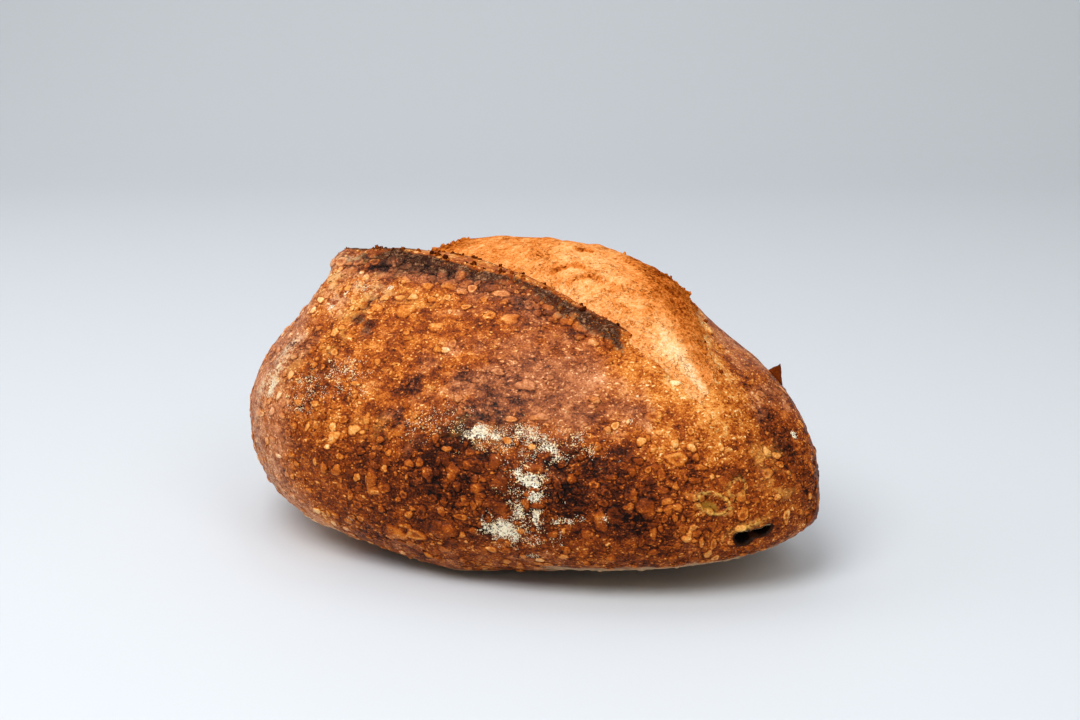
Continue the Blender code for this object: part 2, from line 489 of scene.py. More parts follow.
# Crust colours from burnt to pale, each at its level from 0 to 1
CRUST_LEVELS = (
    (0.00, tint(18, 8, 5)),
    (0.14, tint(58, 22, 8)),
    (0.28, tint(102, 42, 12)),
    (0.42, tint(152, 68, 16)),
    (0.56, tint(202, 112, 36)),
    (0.70, tint(232, 156, 76)),
    (0.84, tint(250, 202, 132)),
    (1.00, tint(255, 232, 180)),
)
# Duller, purple-brown crust colours, which also carry the painted sheen of the soft light
DULL_AND_SHEEN_LEVELS = (
    (0.00, tint(22, 15, 14)),
    (0.14, tint(64, 36, 26)),
    (0.28, tint(112, 60, 38)),
    (0.42, tint(158, 88, 50)),
    (0.56, tint(194, 120, 74)),
    (0.70, tint(222, 152, 104)),
    (0.84, tint(242, 198, 148)),
    (1.00, tint(255, 232, 200)),
)
CHAR_LEVELS = (
    (0.00, tint(16, 10, 8)),
    (0.30, tint(50, 31, 24)),
    (0.60, tint(110, 75, 54)),
    (1.00, tint(180, 128, 86)),
)
BELLY_LEVELS = (
    (0.00, tint(70, 24, 6)),
    (0.20, tint(142, 60, 12)),
    (0.40, tint(204, 110, 40)),
    (0.55, tint(234, 144, 72)),
    (0.70, tint(248, 178, 112)),
    (0.85, tint(253, 206, 152)),
    (1.00, tint(255, 232, 194)),
)
OLIVE = tint(140, 106, 34)
GOLDEN = tint(200, 150, 74)
RING = tint(244, 190, 92)
# Painted shade of the torn holes: dark brown round and into them, black in their depths
TEAR_SHADE = tint(42, 20, 8)
HAZE = tint(226, 206, 170)
HOLE_SHADE = tint(14, 7, 4)
FLOUR = tint(255, 252, 234)
PALE_FLOUR = tint(252, 214, 150)
GRAIN = tint(244, 216, 166)
RIM_FLOUR = tint(206, 172, 132)
FLOOR_COLOUR = tint(208, 213, 218)

# Where flour lies on the near crust: x, z, half length and half height in mm, tilt, strength
FLOUR_PATCHES = (
    (11.5, 64, 2.2, 1.2, 0, 0.6),
    (17.5, 65.5, 3.6, 2.4, 25, 1.0),
    (23, 63, 4.2, 1.3, -5, 0.9),
    (29, 66.5, 5, 1.0, 0, 0.4),
    (35.5, 65, 7.5, 3.4, 5, 0.65),
    (44.5, 61, 5.0, 2.8, -45, 0.9),
    (53, 64, 3.2, 1.4, 25, 0.75),
    (34, 52, 3.0, 1.4, -20, 0.6),
    (40, 49, 5.0, 3.4, -20, 1.0),
    (42, 43.5, 2.6, 3.6, 0, 0.85),
    (36.5, 36, 2.4, 5.0, -25, 0.7),
    (33, 28.5, 6.5, 3.6, 10, 0.95),
    (24, 28.5, 1.2, 4.0, 40, 0.7),
    (44, 33, 1.3, 5.5, 0, 0.8),
    (54, 34, 6.6, 0.7, 5, 0.9),
    (67.5, 35, 1.0, 2.6, 40, 0.8),
    (40, 17.4, 3.6, 1.8, 0, 0.5),
    (-50, 79, 10, 6.5, -30, 0.42),
    (-51.7, 107, 2.8, 1.3, 0, 0.8),
    (-64, 106, 4.5, 1.6, 0, 0.5),
    (-87, 67, 2.4, 4.0, 0, 0.75),
    (-75, 97, 0.9, 0.9, 0, 1.0),
    (-71, 103, 0.7, 1.6, 0, 1.0),
    (-69, 64, 3.5, 4.5, 0, 0.4),
    (116, 59.7, 0.9, 1.7, 0, 1.0),
    (68.4, 70, 1.6, 1.4, 0, 0.6),
    (-38, 21.5, 2.4, 1.0, -35, 0.6),
    (34, 63, 28, 6, -4, 0.40),
    (39, 45, 9, 17, -10, 0.38),
    (36, 29, 14, 7, 0, 0.38),
    (-66, 70, 13, 10, -20, 0.34),
    (-4, 66, 14, 7, 20, 0.30),
)

# Dark patches of the near crust, in the same terms
DARK_PATCHES = (
    (-19, 77.5, 7, 4, 20, 0.8),
    (-56, 96, 3, 3.2, 0, 0.9),
    (14, 82, 17, 7, -5, 0.35),
    (18, 71.5, 13, 4, 0, 0.8),
    (-20.6, 65.7, 7, 3.2, -10, 0.8),
    (18.4, 58.5, 5, 2.6, 0, 0.8),
    (8, 43, 15, 6, 0, 0.6),
    (25, 32, 4, 4.5, 0, 0.9),
    (50, 56, 13, 3.6, -10, 0.75),
    (53, 43, 13, 6, 0, 0.6),
    (77, 34, 6, 4.5, 0, 0.7),
    (113.8, 60, 5, 10, 10, 0.55),
    (108, 66, 4, 5, 0, 0.45),
    (127, 37, 5, 6, 0, 0.7),
    (102, 52.5, 5.5, 1.8, -10, 0.6),
    (28.4, 79.6, 5, 5, 0, 0.5),
    (99, 73, 7, 4, -10, 0.45),
    (-88, 82.5, 2.5, 4, 0, 0.7),
    (-46, 115.5, 10, 5, -5, 1.0),
    (-33, 113.5, 9, 4.5, -12, 1.0),
    (-62, 113, 7, 4, 0, 0.8),
    (-55, 101, 2.5, 4, 0, 0.7),
    (-15.2, 113.3, 6, 3.0, -12, 0.9),
    (-49.3, 93.7, 3.0, 6.0, 0, 0.9),
    (-28, 112, 6, 2.4, -20, 0.8),
    (12.1, 106.2, 7, 3.0, -12, 0.25),
    (-72.5, 114.6, 6, 3.0, 0, 0.7),
    (-52.2, 112.8, 4, 4.0, 0, 0.7),
    (-58.6, 74.4, 10, 8, 0, 0.5),
    (-78, 84, 6, 8, -20, 0.5),
)

# Golden patches of the near crust, in the same terms
PALE_PATCHES = (
    (-60.4, 102.6, 2.4, 6, 0, 0.9),
    (-22, 105.9, 11, 2.6, -6, 0.8),
    (-0.7, 90, 5, 2.4, 0, 0.8),
    (54.4, 81.8, 8, 2.6, -12, 0.8),
    (51.9, 74.8, 6, 2.2, 0, 0.7),
    (-41.2, 88.7, 3.6, 3.2, 0, 0.7),
    (-66, 60, 4.5, 6.5, 10, 0.75),
    (-41.5, 55.9, 6.5, 4.0, 0, 0.5),
    (119, 41, 4.5, 6.5, 30, 0.9),
    (-54, 91, 5, 2.5, -20, 0.6),
    (91.3, 58.5, 6, 3.5, -10, 0.6),
    (-77, 62, 4, 7, 0, 0.5),
    (-84, 108, 4, 6, 0, 0.6),
    (67, 78, 7, 3, -20, 0.5),
    (-45, 100, 4, 3, 0, 0.5),
    (-28, 36, 9, 5, 0, 0.4),
)

# Dusty gold patches, in the same terms
GOLDEN_PATCHES = (
    (-60, 102, 5, 9, -10, 0.9),
    (-47, 106, 8, 4, 0, 0.6),
    (-34, 104, 7, 3, -6, 0.5),
    (-62, 88, 5, 6, 0, 0.5),
    (-84, 106, 5, 8, -30, 0.8),
    (-77, 113, 8, 4, 0, 0.5),
    (-56, 108, 8, 4, 0, 0.5),
    (-80, 76, 6, 8, 0, 0.5),
    (-30, 62, 8, 5, 0, 0.3),
    (113, 55, 7, 5, 0, 0.6),
    (119, 44, 5, 7, 30, 0.6),
    (22, 65, 14, 4, 0, 0.4),
)

# Floury film at the blunt end, in the same terms
HAZE_PATCHES = (
    (-84, 113, 8, 3.5, 0, 0.35),
    (-90, 104, 4, 9, -20, 0.50),
    (-62, 106, 13, 4, -4, 0.35),
    (-74, 99, 9, 5, -35, 0.35),
    (-92.5, 69, 5.5, 11, -15, 1.0),
    (-89, 80, 3.5, 8, -25, 1.0),
    (-87, 67, 2.2, 4, 0, 1.0),
    (-96, 46, 5, 12, 0, 0.4),
    (-86, 30, 10, 8, 0, 0.3),
)

# The largest blisters of the near crust: x, z, half length, half height, tone, ringed
BIG_BLISTERS = (
    (81.6, 39.8, 4.2, 4.1, 0.45, 0),
    (29.5, 47, 4.3, 4.0, 0.22, 0),
    (26.8, 55.5, 3.4, 3.0, 0.30, 0),
    (29.3, 37.7, 3.4, 3.4, 0.15, 0),
    (18.9, 53, 3.2, 3.0, 0.15, 1),
    (10, 47.5, 2.2, 2.3, 0.55, 0),
    (20, 44, 3.3, 2.2, 0.45, 0),
    (-2.9, 31, 2.5, 2.9, 0.40, 1),
    (14.9, 40, 1.6, 1.6, 0.6, 0),
    (21, 38.4, 1.3, 1.3, 0.6, 0),
    (-16.5, 20.3, 5.0, 4.2, 0.55, 0),
    (-7, 20.7, 4.4, 3.2, 0.75, 1),
    (6.2, 25.5, 5.4, 4.4, 0.35, 0),
    (41.3, 53.4, 4.0, 2.8, 0.40, 0),
    (-0.5, 48, 2.8, 3.2, 0.65, 0),
    (9.9, 51, 3.2, 2.4, 0.35, 0),
    (-43.2, 41.7, 2.6, 2.8, 0.55, 0),
    (-25, 43.3, 3.0, 2.2, 0.5, 0),
    (-19.2, 47.4, 1.6, 1.6, 0.9, 0),
    (-37, 59, 3.0, 2.4, 0.65, 0),
    (-24.2, 37, 2.6, 2.6, 0.6, 0),
    (-19.9, 39.2, 2.8, 2.6, 0.5, 1),
    (-10.3, 38.2, 2.0, 1.8, 0.6, 1),
    (-45.5, 55, 2.6, 3.0, 0.6, 0),
    (-16.2, 61.2, 3.2, 3.0, 0.5, 0),
    (71.6, 37, 3.6, 2.8, 0.20, 1),
    (66.4, 36.6, 2.6, 2.4, 0.45, 0),
    (88.1, 39, 2.0, 2.4, 0.5, 0),
    (84.1, 52, 1.9, 2.8, 0.45, 0),
    (89.3, 47.6, 1.5, 1.6, 0.7, 0),
    (67.9, 45.4, 2.2, 1.8, 0.35, 1),
    (62.3, 48, 2.1, 1.8, 0.65, 1),
    (38.3, 71.5, 4.2, 1.6, 0.45, 0),
    (76, 71.5, 3.2, 3.0, 0.35, 1),
    (87.7, 57.3, 5.0, 2.6, 0.6, 1),
    (114.6, 49, 2.4, 2.6, 0.45, 1),
    (83.8, 30, 1.4, 3.6, 0.6, 0),
    (122, 32.3, 2.0, 2.4, 0.8, 1),
    (95.4, 29.5, 1.5, 1.5, 0.6, 0),
    (49, 28, 2.2, 2.0, 0.5, 0),
    (62, 29.5, 2.4, 2.2, 0.4, 0),
    (52.7, 19, 2.4, 1.4, 0.85, 0),
    (76.5, 44.7, 1.4, 2.8, 0.6, 0),
    (-37.4, 100, 4.8, 3.4, 0.40, 0),
    (-24.4, 110, 3.8, 3.0, 0.35, 0),
    (8.4, 100.8, 4.6, 2.8, 0.55, 0),
    (0, 101.7, 2.6, 2.6, 0.7, 1),
    (15.5, 85, 3.0, 1.6, 0.7, 1),
    (-45.8, 110, 2.6, 2.2, 0.5, 0),
    (-17.3, 111.4, 2.2, 2.0, 0.3, 0),
    (-51, 100.3, 2.8, 2.2, 0.4, 0),
    (-64.6, 90.8, 2.4, 2.2, 0.65, 0),
    (-50, 104, 2.2, 2.0, 0.6, 0),
    (-21, 96.4, 2.2, 1.8, 0.6, 0),
    (28.4, 81.2, 4.0, 3.0, 0.7, 0),
    (-25.7, 110.2, 3.4, 2.8, 0.45, 0),
    (11.6, 106.8, 2.0, 1.7, 0.35, 0),
    (20.4, 105.0, 2.4, 2.1, 0.40, 0),
    (25.6, 102.7, 2.2, 2.0, 0.55, 0),
    (15.6, 106.0, 1.7, 1.5, 0.30, 0),
    (36.9, 98.6, 2.4, 2.0, 0.40, 0),
    (44.1, 94.9, 2.6, 2.2, 0.55, 0),
    (-7, 106.0, 2.1, 1.8, 0.50, 0),
    (-18.5, 110.6, 2.3, 2.0, 0.40, 0),
    (-0.1, 101.7, 2.4, 2.1, 0.55, 1),
    (-17.8, 107.6, 2.2, 1.9, 0.50, 0),
    (-34, 109.0, 2.8, 2.2, 0.55, 0),
    (-36.8, 105.4, 2.2, 2.0, 0.65, 0),
    (-19.8, 97.2, 3.2, 2.4, 0.45, 0),
    (-75.8, 109.7, 3.2, 2.8, 0.40, 0),
    (-69.4, 113.1, 2.0, 1.8, 0.60, 0),
    (-60.4, 114.0, 2.3, 1.9, 0.45, 0),
    (-82, 104, 2.6, 2.2, 0.55, 0),
    (-66, 108.6, 2.4, 2.0, 0.60, 0),
    (-43, 104.4, 2.4, 1.9, 0.50, 0),
    (2, 106.5, 2.2, 1.8, 0.45, 0),
    (31, 100.6, 2.0, 1.7, 0.50, 0),
)

# Torn blister and sunken bubble at the pointed end, in the terms of the patches
TEAR_LEFT = (111.0, 26.0, 3.4, 2.8, -8)
TEAR_RIGHT = (117.2, 28.0, 3.4, 1.7, 25)
TEAR_MIDDLE = (113.8, 27.0, 5.0, 1.8, 14)
TEAR_RIM = (112.6, 31.0, 7.0, 1.4, 16)
BUBBLE = (102.0, 40.8, 6.2, 3.4, -20)
BUBBLE_LOW_HALF = (101.2, 39.8, 3.8, 1.9, -20)
BESIDE_BUBBLE = (107.6, 45.6, 4.0, 3.0, 35)

# Folds stretched into the belly, seen from above: middle x and y, radius, from and to angle, depth
BELLY_FOLDS = (
    (17, -6, 9.5, 55, 165, 1.5),
    (27, -13, 12, 60, 150, 1.3),
    (44, -22, 11.5, 35, 105, 1.3),
    (12, 4, 13, 60, 105, 1.6),
    (36, -22, 20, 65, 105, 0.7),
    (-3, -8, 16, 45, 120, 0.7),
    (58, -24, 12, 40, 100, 0.7),
    (28, 0, 18, 40, 85, 0.7),
)


def roughen(loaf):
    """The unevenness of a hand-shaped loaf, and the narrow valley past the belly."""
    points = loaf.points
    height = 1.1 * MM * field(points, 48 * MM, 1, 2)
    height += 0.5 * MM * field(points, 15 * MM, 2, 2)
    height += 0.22 * MM * field(points, 5 * MM, 3, 2) * loaf.is_in("near", "far", "base")
    valley = bump(loaf.along, 0.66, 0.10) * loaf.is_in("far") * bump(loaf.share, 0, 0.35)
    shoulder = bump(loaf.along, -0.42, 0.05) * loaf.is_in("belly") * bump(loaf.share, 0.85, 0.35)
    loaf.push(height - 0.3 * MM * valley + 0.8 * MM * shoulder)


def soften_far_rim(loaf):
    """Rounds the step where the belly meets the far crust, most towards the pointed end."""
    rim = BASE_NEAR_STEPS + NEAR_STEPS + LIP_STEPS + UNDERCUT_STEPS + BELLY_STEPS
    column = np.arange(loaf.along.shape[1])
    share = bump(column, rim + 2, 17) * ease(0.05, 0.40, loaf.along)
    loaf.smooth(0.6 * share, 260)


def lift_rim(loaf):
    """Curls the rim of the base up off the table, most towards the pointed end."""
    y, z = loaf.points[..., 1], loaf.points[..., 2]
    flat = z < 0.05 * MM
    near = np.where(flat, y, np.inf).min(1, keepdims=True)
    far = np.where(flat, y, -np.inf).max(1, keepdims=True)
    inside = np.where(flat, np.minimum(y - near, far - y), 0)
    foot = bump(loaf.along, -0.01, 0.25)
    rise = MM * (1.8 + 2.9 * ease(-0.05, 0.45, loaf.along) - 1.6 * foot)
    reach = np.where(flat, np.exp(-((inside / (13 * MM)) ** 1.5)), np.exp(-z / (9 * MM)))
    loaf.lift(rise * reach)
    loaf.push(2.6 * MM * foot * bump(z, 6 * MM, 9 * MM) * (y < 0))


def sculpt_ear(loaf):
    """The ragged ridge of the ear, the crusty strip behind it and the knob at its start."""
    gap = loaf.ridge_gap()
    raised = ease(-0.15, 0.10, loaf.along) * (1 - ease(0.39, 0.45, loaf.along))
    raised = raised * bump(gap, 0, 5 * MM) * loaf.is_in("near", "lip", "undercut")
    loaf.lift(2.0 * MM * raised)
    bulge = np.linalg.norm(loaf.points - np.array(KNOB_BULGE) * MM, axis=-1)
    hollow = np.linalg.norm(loaf.points - np.array(KNOB_HOLLOW) * MM, axis=-1)
    loaf.push(3.2 * MM * bump(bulge, 0, 5 * MM) - 3.8 * MM * bump(hollow, 0, 8 * MM))
    loaf.smooth(0.6 * bump(bulge, 0, 6 * MM), 14)
    standing = lip_opening(loaf.along)
    near_ridge = bump(gap, -1 * MM, 5 * MM) * standing
    height = 0.9 * MM * field(loaf.points, 5 * MM, 4, 3)
    height += 0.5 * MM * field(loaf.points, 1.6 * MM, 5, 2)
    dark_end = bump(loaf.along, 0.37, 0.05) * bump(gap, -3 * MM, 4 * MM)
    loaf.push((height + 0.5 * MM) * near_ridge + 1.0 * MM * dark_end)


def sculpt_belly(loaf):
    """Stretch folds and a torn, fibrous skin on the belly, rougher towards its far rim."""
    x, y = loaf.points[..., 0], loaf.points[..., 1]
    inside = loaf.is_in("belly") * belly_opening(loaf.along) * ease(0.04, 0.14, loaf.share)
    height = np.zeros(x.shape)
    crease = np.zeros(x.shape)
    wander = 0.8 * MM * field(loaf.points, 7 * MM, 6, 2)
    for middle_x, middle_y, radius, start, end, depth in BELLY_FOLDS:
        out_x, out_y = x - middle_x * MM, y - middle_y * MM
        gap = np.hypot(out_x, out_y) - radius * MM + wander
        angle = np.degrees(np.arctan2(out_y, out_x))
        window = ease(start - 12, start + 12, angle) * (1 - ease(end - 12, end + 12, angle))
        over = np.where(gap > 0, np.exp(-gap / (6 * MM)), np.exp(gap / (0.9 * MM)))
        height += depth * MM * 0.7 * window * over
        height -= depth * MM * 0.6 * window * bump(gap, -0.9 * MM, 1.2 * MM)
        crease = np.maximum(crease, window * depth / 1.6 * bump(gap, -0.4 * MM, 0.9 * MM))
    rough = 0.35 + 0.9 * ease(0.5, 1.0, loaf.share)
    stretched = loaf.points * np.array([1.0, 0.45, 0.7])
    lump = field(stretched, 4.2 * MM, 7, 3)
    height += rough * MM * lump
    height += 0.7 * MM * field(loaf.points, 10 * MM, 8, 2)
    loaf.push(height * inside)
    hollow = ease(0.05, -0.55, lump)
    # Painted shade for the belly's colour: darker in the folds and in the low hollows of the skin
    loaf.marks["crease"] = np.maximum(crease, 0.22 * hollow) * inside


def sculpt_marks(loaf):
    """The torn blister at the pointed end, and the sunken bubble beside it."""
    torn = np.minimum(loaf.oval(*TEAR_LEFT), loaf.oval(*TEAR_RIGHT))
    between = loaf.oval(*TEAR_MIDDLE)
    rim = loaf.oval(*TEAR_RIM)
    bubble = loaf.oval(*BUBBLE)
    low_half = loaf.oval(*BUBBLE_LOW_HALF)
    beside = loaf.oval(*BESIDE_BUBBLE)
    height = -4.5 * MM * (1 - ease(0.6, 1.1, torn)) - 3.0 * MM * (1 - ease(0.4, 1.2, between))
    height += 1.3 * MM * bump(rim, 0, 0.9) * ease(0.8, 1.3, torn)
    height += 1.0 * MM * bump(bubble, 1.1, 0.22) - 0.9 * MM * (1 - ease(0.3, 1.0, bubble))
    height += 0.9 * MM * (1 - ease(0.6, 1.2, beside))
    loaf.push(height)
    # Painted shade of the torn holes: strongest in the deep torn blister, weaker in the channel
    # between
    loaf.marks["hole_shade"] = np.clip(np.maximum(1.6 - torn, np.minimum(1.5 - between, 0.42)), 0, 1)
    loaf.marks["olive"] = np.clip((1 - ease(0.6, 1.2, low_half)) + 0.3 * bump(rim, 0, 1.0), 0, 1)
    ring = np.maximum(bump(bubble, 1.12, 0.13), 0.6 * bump(beside, 1.0, 0.14))
    loaf.marks["ring"] = np.clip(np.maximum(ring, 0.8 * bump(rim, 0, 0.9)), 0, 1)


def patches(loaf, ovals, edge, ragged=0.0):
    """The strength of a list of oval patches over the loaf, fading out past each rim."""
    total = np.zeros(loaf.along.shape)
    wander = ragged * field(loaf.points, 4 * MM, 19, 3)
    for *oval, strength in ovals:
        distance = loaf.oval(*oval) + wander
        total = np.maximum(total, strength * (1 - ease(1 - edge, 1 + edge, distance)))
    return total


def crust_level(loaf):
    """How pale the crust is by region, from 0 burnt to 1 cream."""
    x, z = loaf.side_view()
    drift = field(loaf.points, 26 * MM, 11, 3)
    cloud = field(loaf.points, 8 * MM, 13, 4)
    gap = loaf.ridge_gap() / MM
    band = 0.28 + 0.09 * ease(5, -55, x) + 0.03 * ease(55, 90, x)
    upper = 0.50 - 0.060 * bump(x, 22, 42) - 0.07 * bump(gap, -12, 8) * lip_opening(loaf.along)
    level = band + (upper - band) * ease(50, 74, z + 6 * drift + 7 * cloud)
    level += (0.43 - level) * ease(90, 110, x + 6 * cloud) * 0.85
    level -= 0.07 * bump(x, -66, 24) * bump(z, 74, 20)
    rim = 0.70 - 0.31 * ease(-64, -34, x)
    level += (rim - level) * ease(30, 13, z + 3 * cloud)
    blunt = ease(-54, -76, x + 0.30 * (z - 40) + 5 * cloud) * ease(10, 26, z)
    level += (0.55 - level) * blunt
    pale = patches(loaf, PALE_PATCHES, 0.7) * loaf.near_or_past()
    return level + 0.06 * drift + 0.11 * cloud + 0.10 * pale


def dull_and_sheen_share(loaf):
    """Where the crust is duller and a little purple, not orange: partly its own colour, partly a
    painted sheen, the pinkish reflection of the soft light, strongest over the middle of the near
    side.
    """
    x, z = loaf.side_view()
    cloud = field(loaf.points, 12 * MM, 14, 3)
    # Painted sheen: the pinkish reflection of the soft light over the middle of the near side
    sheen = 1.05 * bump(x, 44, 50) * bump(z, 82, 19)
    left = 0.85 * ease(-54, -78, x + 0.30 * (z - 40))
    rim = ease(28, 14, z) * (1.0 - 0.65 * ease(-64, -34, x))
    gap = loaf.ridge_gap() / MM
    under_ear = 0.7 * bump(gap, -12, 8) * lip_opening(loaf.along)
    tip = 0.6 * bump(x, 100, 16) * bump(z, 72, 9)
    share = np.max([sheen, left, rim, tip, under_ear], axis=0)
    return np.clip(share - 0.04 + 0.45 * cloud, 0, 1)


def burnt_share(loaf):
    """The black band of the ear: patchy at its start, thick and ending short at its end."""
    gap = loaf.ridge_gap() / MM
    near = loaf.is_in("near")
    ragged = gap + 2.6 * field(loaf.points, 7 * MM, 15, 4)
    x = loaf.side_view()[0]
    low = 8.0 + 3.0 * ease(8, 25, x) + 3.0 * ease(-25, -50, x)
    band = ease(-low, 5.5 - low, ragged) * near * ease(-0.62, -0.45, loaf.along)
    band = band * (1 - ease(0.39, 0.42, loaf.along + 0.02 * ragged / 4))
    start = 0.75 * ease(-17, -8, ragged) * near * ease(-0.70, -0.60, loaf.along)
    start = start * (1 - ease(-0.38, -0.18, loaf.along))
    start = start * (0.35 + ease(-0.25, 0.4, field(loaf.points, 8 * MM, 18, 2)))
    back = loaf.is_in("lip", "undercut")
    behind = back * (0.15 + 0.85 * bump(loaf.along, 0.37, 0.06) + ease(-0.36, -0.5, loaf.along))
    behind = behind * (1 - ease(0.39, 0.42, loaf.along))
    return np.clip(np.maximum(np.maximum(band, start), behind), 0, 1)


def crumb_share(loaf):
    """Where torn crumb shows instead of crust: the belly, and the lips where they close."""
    near, in_belly = loaf.is_in("near"), loaf.is_in("belly")
    ragged = 0.10 * field(loaf.points, 7 * MM, 17, 3)
    torn_edge = in_belly * (1 - ease(0.84, 0.98, loaf.share + ragged))
    closed = loaf.is_in("lip", "undercut") * ease(0.41, 0.45, loaf.along + 0.2 * ragged)
    past_ear = ease(0.42, 0.50, loaf.along) * (1 - ease(0.72, 0.78, loaf.along))
    edge_gap = loaf.ridge_gap() / MM
    blurred = 0.42 * past_ear * np.exp(-((edge_gap / 3.5) ** 2)) * near
    torn_edge = torn_edge - 0.30 * past_ear * in_belly * bump(edge_gap, 0, 2.5)
    opening = ease(0.0, 0.05, belly_opening(loaf.along))
    return np.clip(torn_edge + closed + blurred, 0, 1) * opening


def pale_halo(loaf):
    """The paler crust beside the belly's pointed half."""
    beside = ease(0.25, 0.5, loaf.along) * (1 - ease(0.76, 0.88, loaf.along))
    gap = np.where(loaf.is_in("far"), loaf.share * 0.9, (1 - loaf.share) * 0.8)
    gap = gap * loaf.is_in("near", "far")
    return beside * np.exp(-((gap / 0.075) ** 2))


def belly_level(loaf, crease):
    """How pale the belly is: toasted at its start and far rim, cream at its tip, and darker in its
    folds and hollows, which is painted shade.
    """
    in_belly = loaf.is_in("belly")
    drift = field(loaf.points, 12 * MM, 16, 3)
    wide = ease(-0.10, 0.30, loaf.along)
    wider = ease(0.20, 0.42, loaf.along)
    start = 0.66 - 0.42 * wide - 0.12 * wider
    end = 0.98 - 0.24 * wide - 0.18 * wider
    far_edge = ease(start, end, loaf.share + 0.16 * drift)
    far_edge = far_edge * (0.80 + 0.10 * wide - 0.35 * ease(0.48, 0.62, loaf.along))
    blunt_end = ease(-0.32, -0.50, loaf.along + 0.05 * drift)
    toast = np.maximum(far_edge, blunt_end) * in_belly
    cream = bump(loaf.share, 0.16, 0.26) * ease(0.42, 0.60, loaf.along) * in_belly
    top = 0.10 * ease(0.20, -0.06, loaf.along) + 0.05 * bump(loaf.along, 0.40, 0.09)
    return 0.66 - top - 0.31 * toast + 0.20 * cream - 0.30 * crease + 0.07 * drift


def underside_share(loaf):
    """Where the floury rim of the base shows."""
    x, z = loaf.side_view()
    down = loaf.normals[..., 2]
    under = ease(5.5, 2.5, z) * ease(-0.2, -0.7, down)
    edge = ease(-0.74, -0.88, down) * ease(30, 50, x)
    return np.clip(np.maximum(under, edge), 0, 1)


def mark_loaf(loaf):
    """Marks on the grid that say where the crust is pale, duller and purple or under a painted
    sheen, burnt, floury or crumb.
    """
    x, z = loaf.side_view()
    marks = loaf.marks
    marks["crumb"] = crumb_share(loaf)
    marks["belly_level"] = belly_level(loaf, marks.pop("crease"))
    marks["strip"] = loaf.is_in("lip", "undercut") * lip_opening(loaf.along)

    dark = patches(loaf, DARK_PATCHES, 0.7, 0.7) * loaf.near_or_past()
    dark += 0.7 * ease(0.25, 0.7, field(loaf.points, 22 * MM, 12, 3)) * loaf.is_in("far")
    halo = pale_halo(loaf)
    marks["level"] = crust_level(loaf) + 0.14 * halo + 0.10 * marks["olive"]
    marks["dark"] = dark
    smoky = 0.3 * dark * ease(58, 72, z)
    marks["dull_and_sheen"] = np.clip(dull_and_sheen_share(loaf) + smoky - 0.8 * halo, 0, 1)
    smudged = dark * np.maximum(0.9 * ease(86, 96, z), 0.5 * ease(104, 110, x))
    marks["burnt"] = np.maximum(burnt_share(loaf), smudged)

    marks["haze"] = np.clip(patches(loaf, HAZE_PATCHES, 0.9) * loaf.is_in("near"), 0, 1)
    marks["golden"] = patches(loaf, GOLDEN_PATCHES, 0.8, 0.8) * loaf.near_or_past()
    marks["flour"] = patches(loaf, FLOUR_PATCHES, 0.8, 1.0)
    marks["underside"] = underside_share(loaf)


def add_marks(mesh, marks):
    for name, values in marks.items():
        attribute = mesh.attributes.new(name, "FLOAT", "POINT")
        attribute.data.foreach_set("value", np.asarray(values, np.float32).ravel())


def new_object(name, data):
    thing = bpy.data.objects.new(name, data)
    bpy.context.scene.collection.objects.link(thing)
    return thing


def smooth_mesh(name, vertices, faces, material):
    mesh = bpy.data.meshes.new(name)
    mesh.from_pydata([tuple(v) for v in vertices], [], faces)
    mesh.shade_smooth()
    mesh.materials.append(material)
    return new_object(name, mesh)


def new_piece(name, vertices, faces, material, marks):
    """A smooth mesh with the given material, that rides on the loaf's body."""
    piece = smooth_mesh(name, vertices, faces, material)
    add_marks(piece.data, marks)
    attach(piece, "root")
    return piece


def build_crust(loaf, material):
    """The closed skin of the loaf."""
    rows, columns = loaf.along.shape
    blunt, pointed = loaf.points[0].mean(0), loaf.points[-1].mean(0)
    blunt[0], pointed[0] = -LENGTH / 2, LENGTH / 2
    vertices = np.concatenate([loaf.points.reshape(-1, 3), [blunt, pointed]])
    index = np.arange(rows * columns).reshape(rows, columns)
    beside = np.roll(index, -1, 1)
    quads = np.stack([index[:-1], index[1:], beside[1:], beside[:-1]], -1).reshape(-1, 4)
    first, last = rows * columns, rows * columns + 1
    faces = quads.tolist()
    faces += [(first, a, b) for a, b in zip(index[0].tolist(), beside[0].tolist())]
    faces += [(last, b, a) for a, b in zip(index[-1].tolist(), beside[-1].tolist())]
    marks = {}
    for name, values in loaf.marks.items():
        ends = [values[0].mean(), values[-1].mean()]
        marks[name] = np.concatenate([values.ravel(), ends])
    piece = new_piece("loaf_crust", vertices, faces, material, marks)
    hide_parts("loaf")


def scatter_places(loaf, density, count):
    """Random places on the grid, as rows and columns, as dense as `density` says."""
    down = loaf.points[1:] - loaf.points[:-1]
    around = np.roll(loaf.points, -1, 1) - loaf.points
    area = np.linalg.norm(np.cross(down, around[:-1]), axis=-1)
    weight = (area * density[:-1]).ravel()
    chosen = RANDOM.choice(weight.size, count, p=weight / weight.sum())
    rows, columns = np.unravel_index(chosen, area.shape)
    return rows + RANDOM.random(count), columns + RANDOM.random(count)


def spread_out(loaf, rows, columns, radii, share):
    """Picks out the places that keep clear of the larger ones, by that share of their radii."""
    order = np.argsort(-radii)
    centres = loaf.sample(loaf.points, rows, columns)
    cell = 6 * MM
    taken = {}
    kept = []
    for i in order:
        key = tuple((centres[i] // cell).astype(int))
        near = [
            j
            for dx in (-1, 0, 1)
            for dy in (-1, 0, 1)
            for dz in (-1, 0, 1)
            for j in taken.get((key[0] + dx, key[1] + dy, key[2] + dz), ())
        ]
        gaps = centres[near] - centres[i] if near else np.empty((0, 3))
        limit = share * (radii[near] + radii[i]) if near else np.empty(0)
        if np.all(np.linalg.norm(gaps, axis=-1) > limit):
            kept.append(i)
            taken.setdefault(key, []).append(i)
    return np.array(kept)


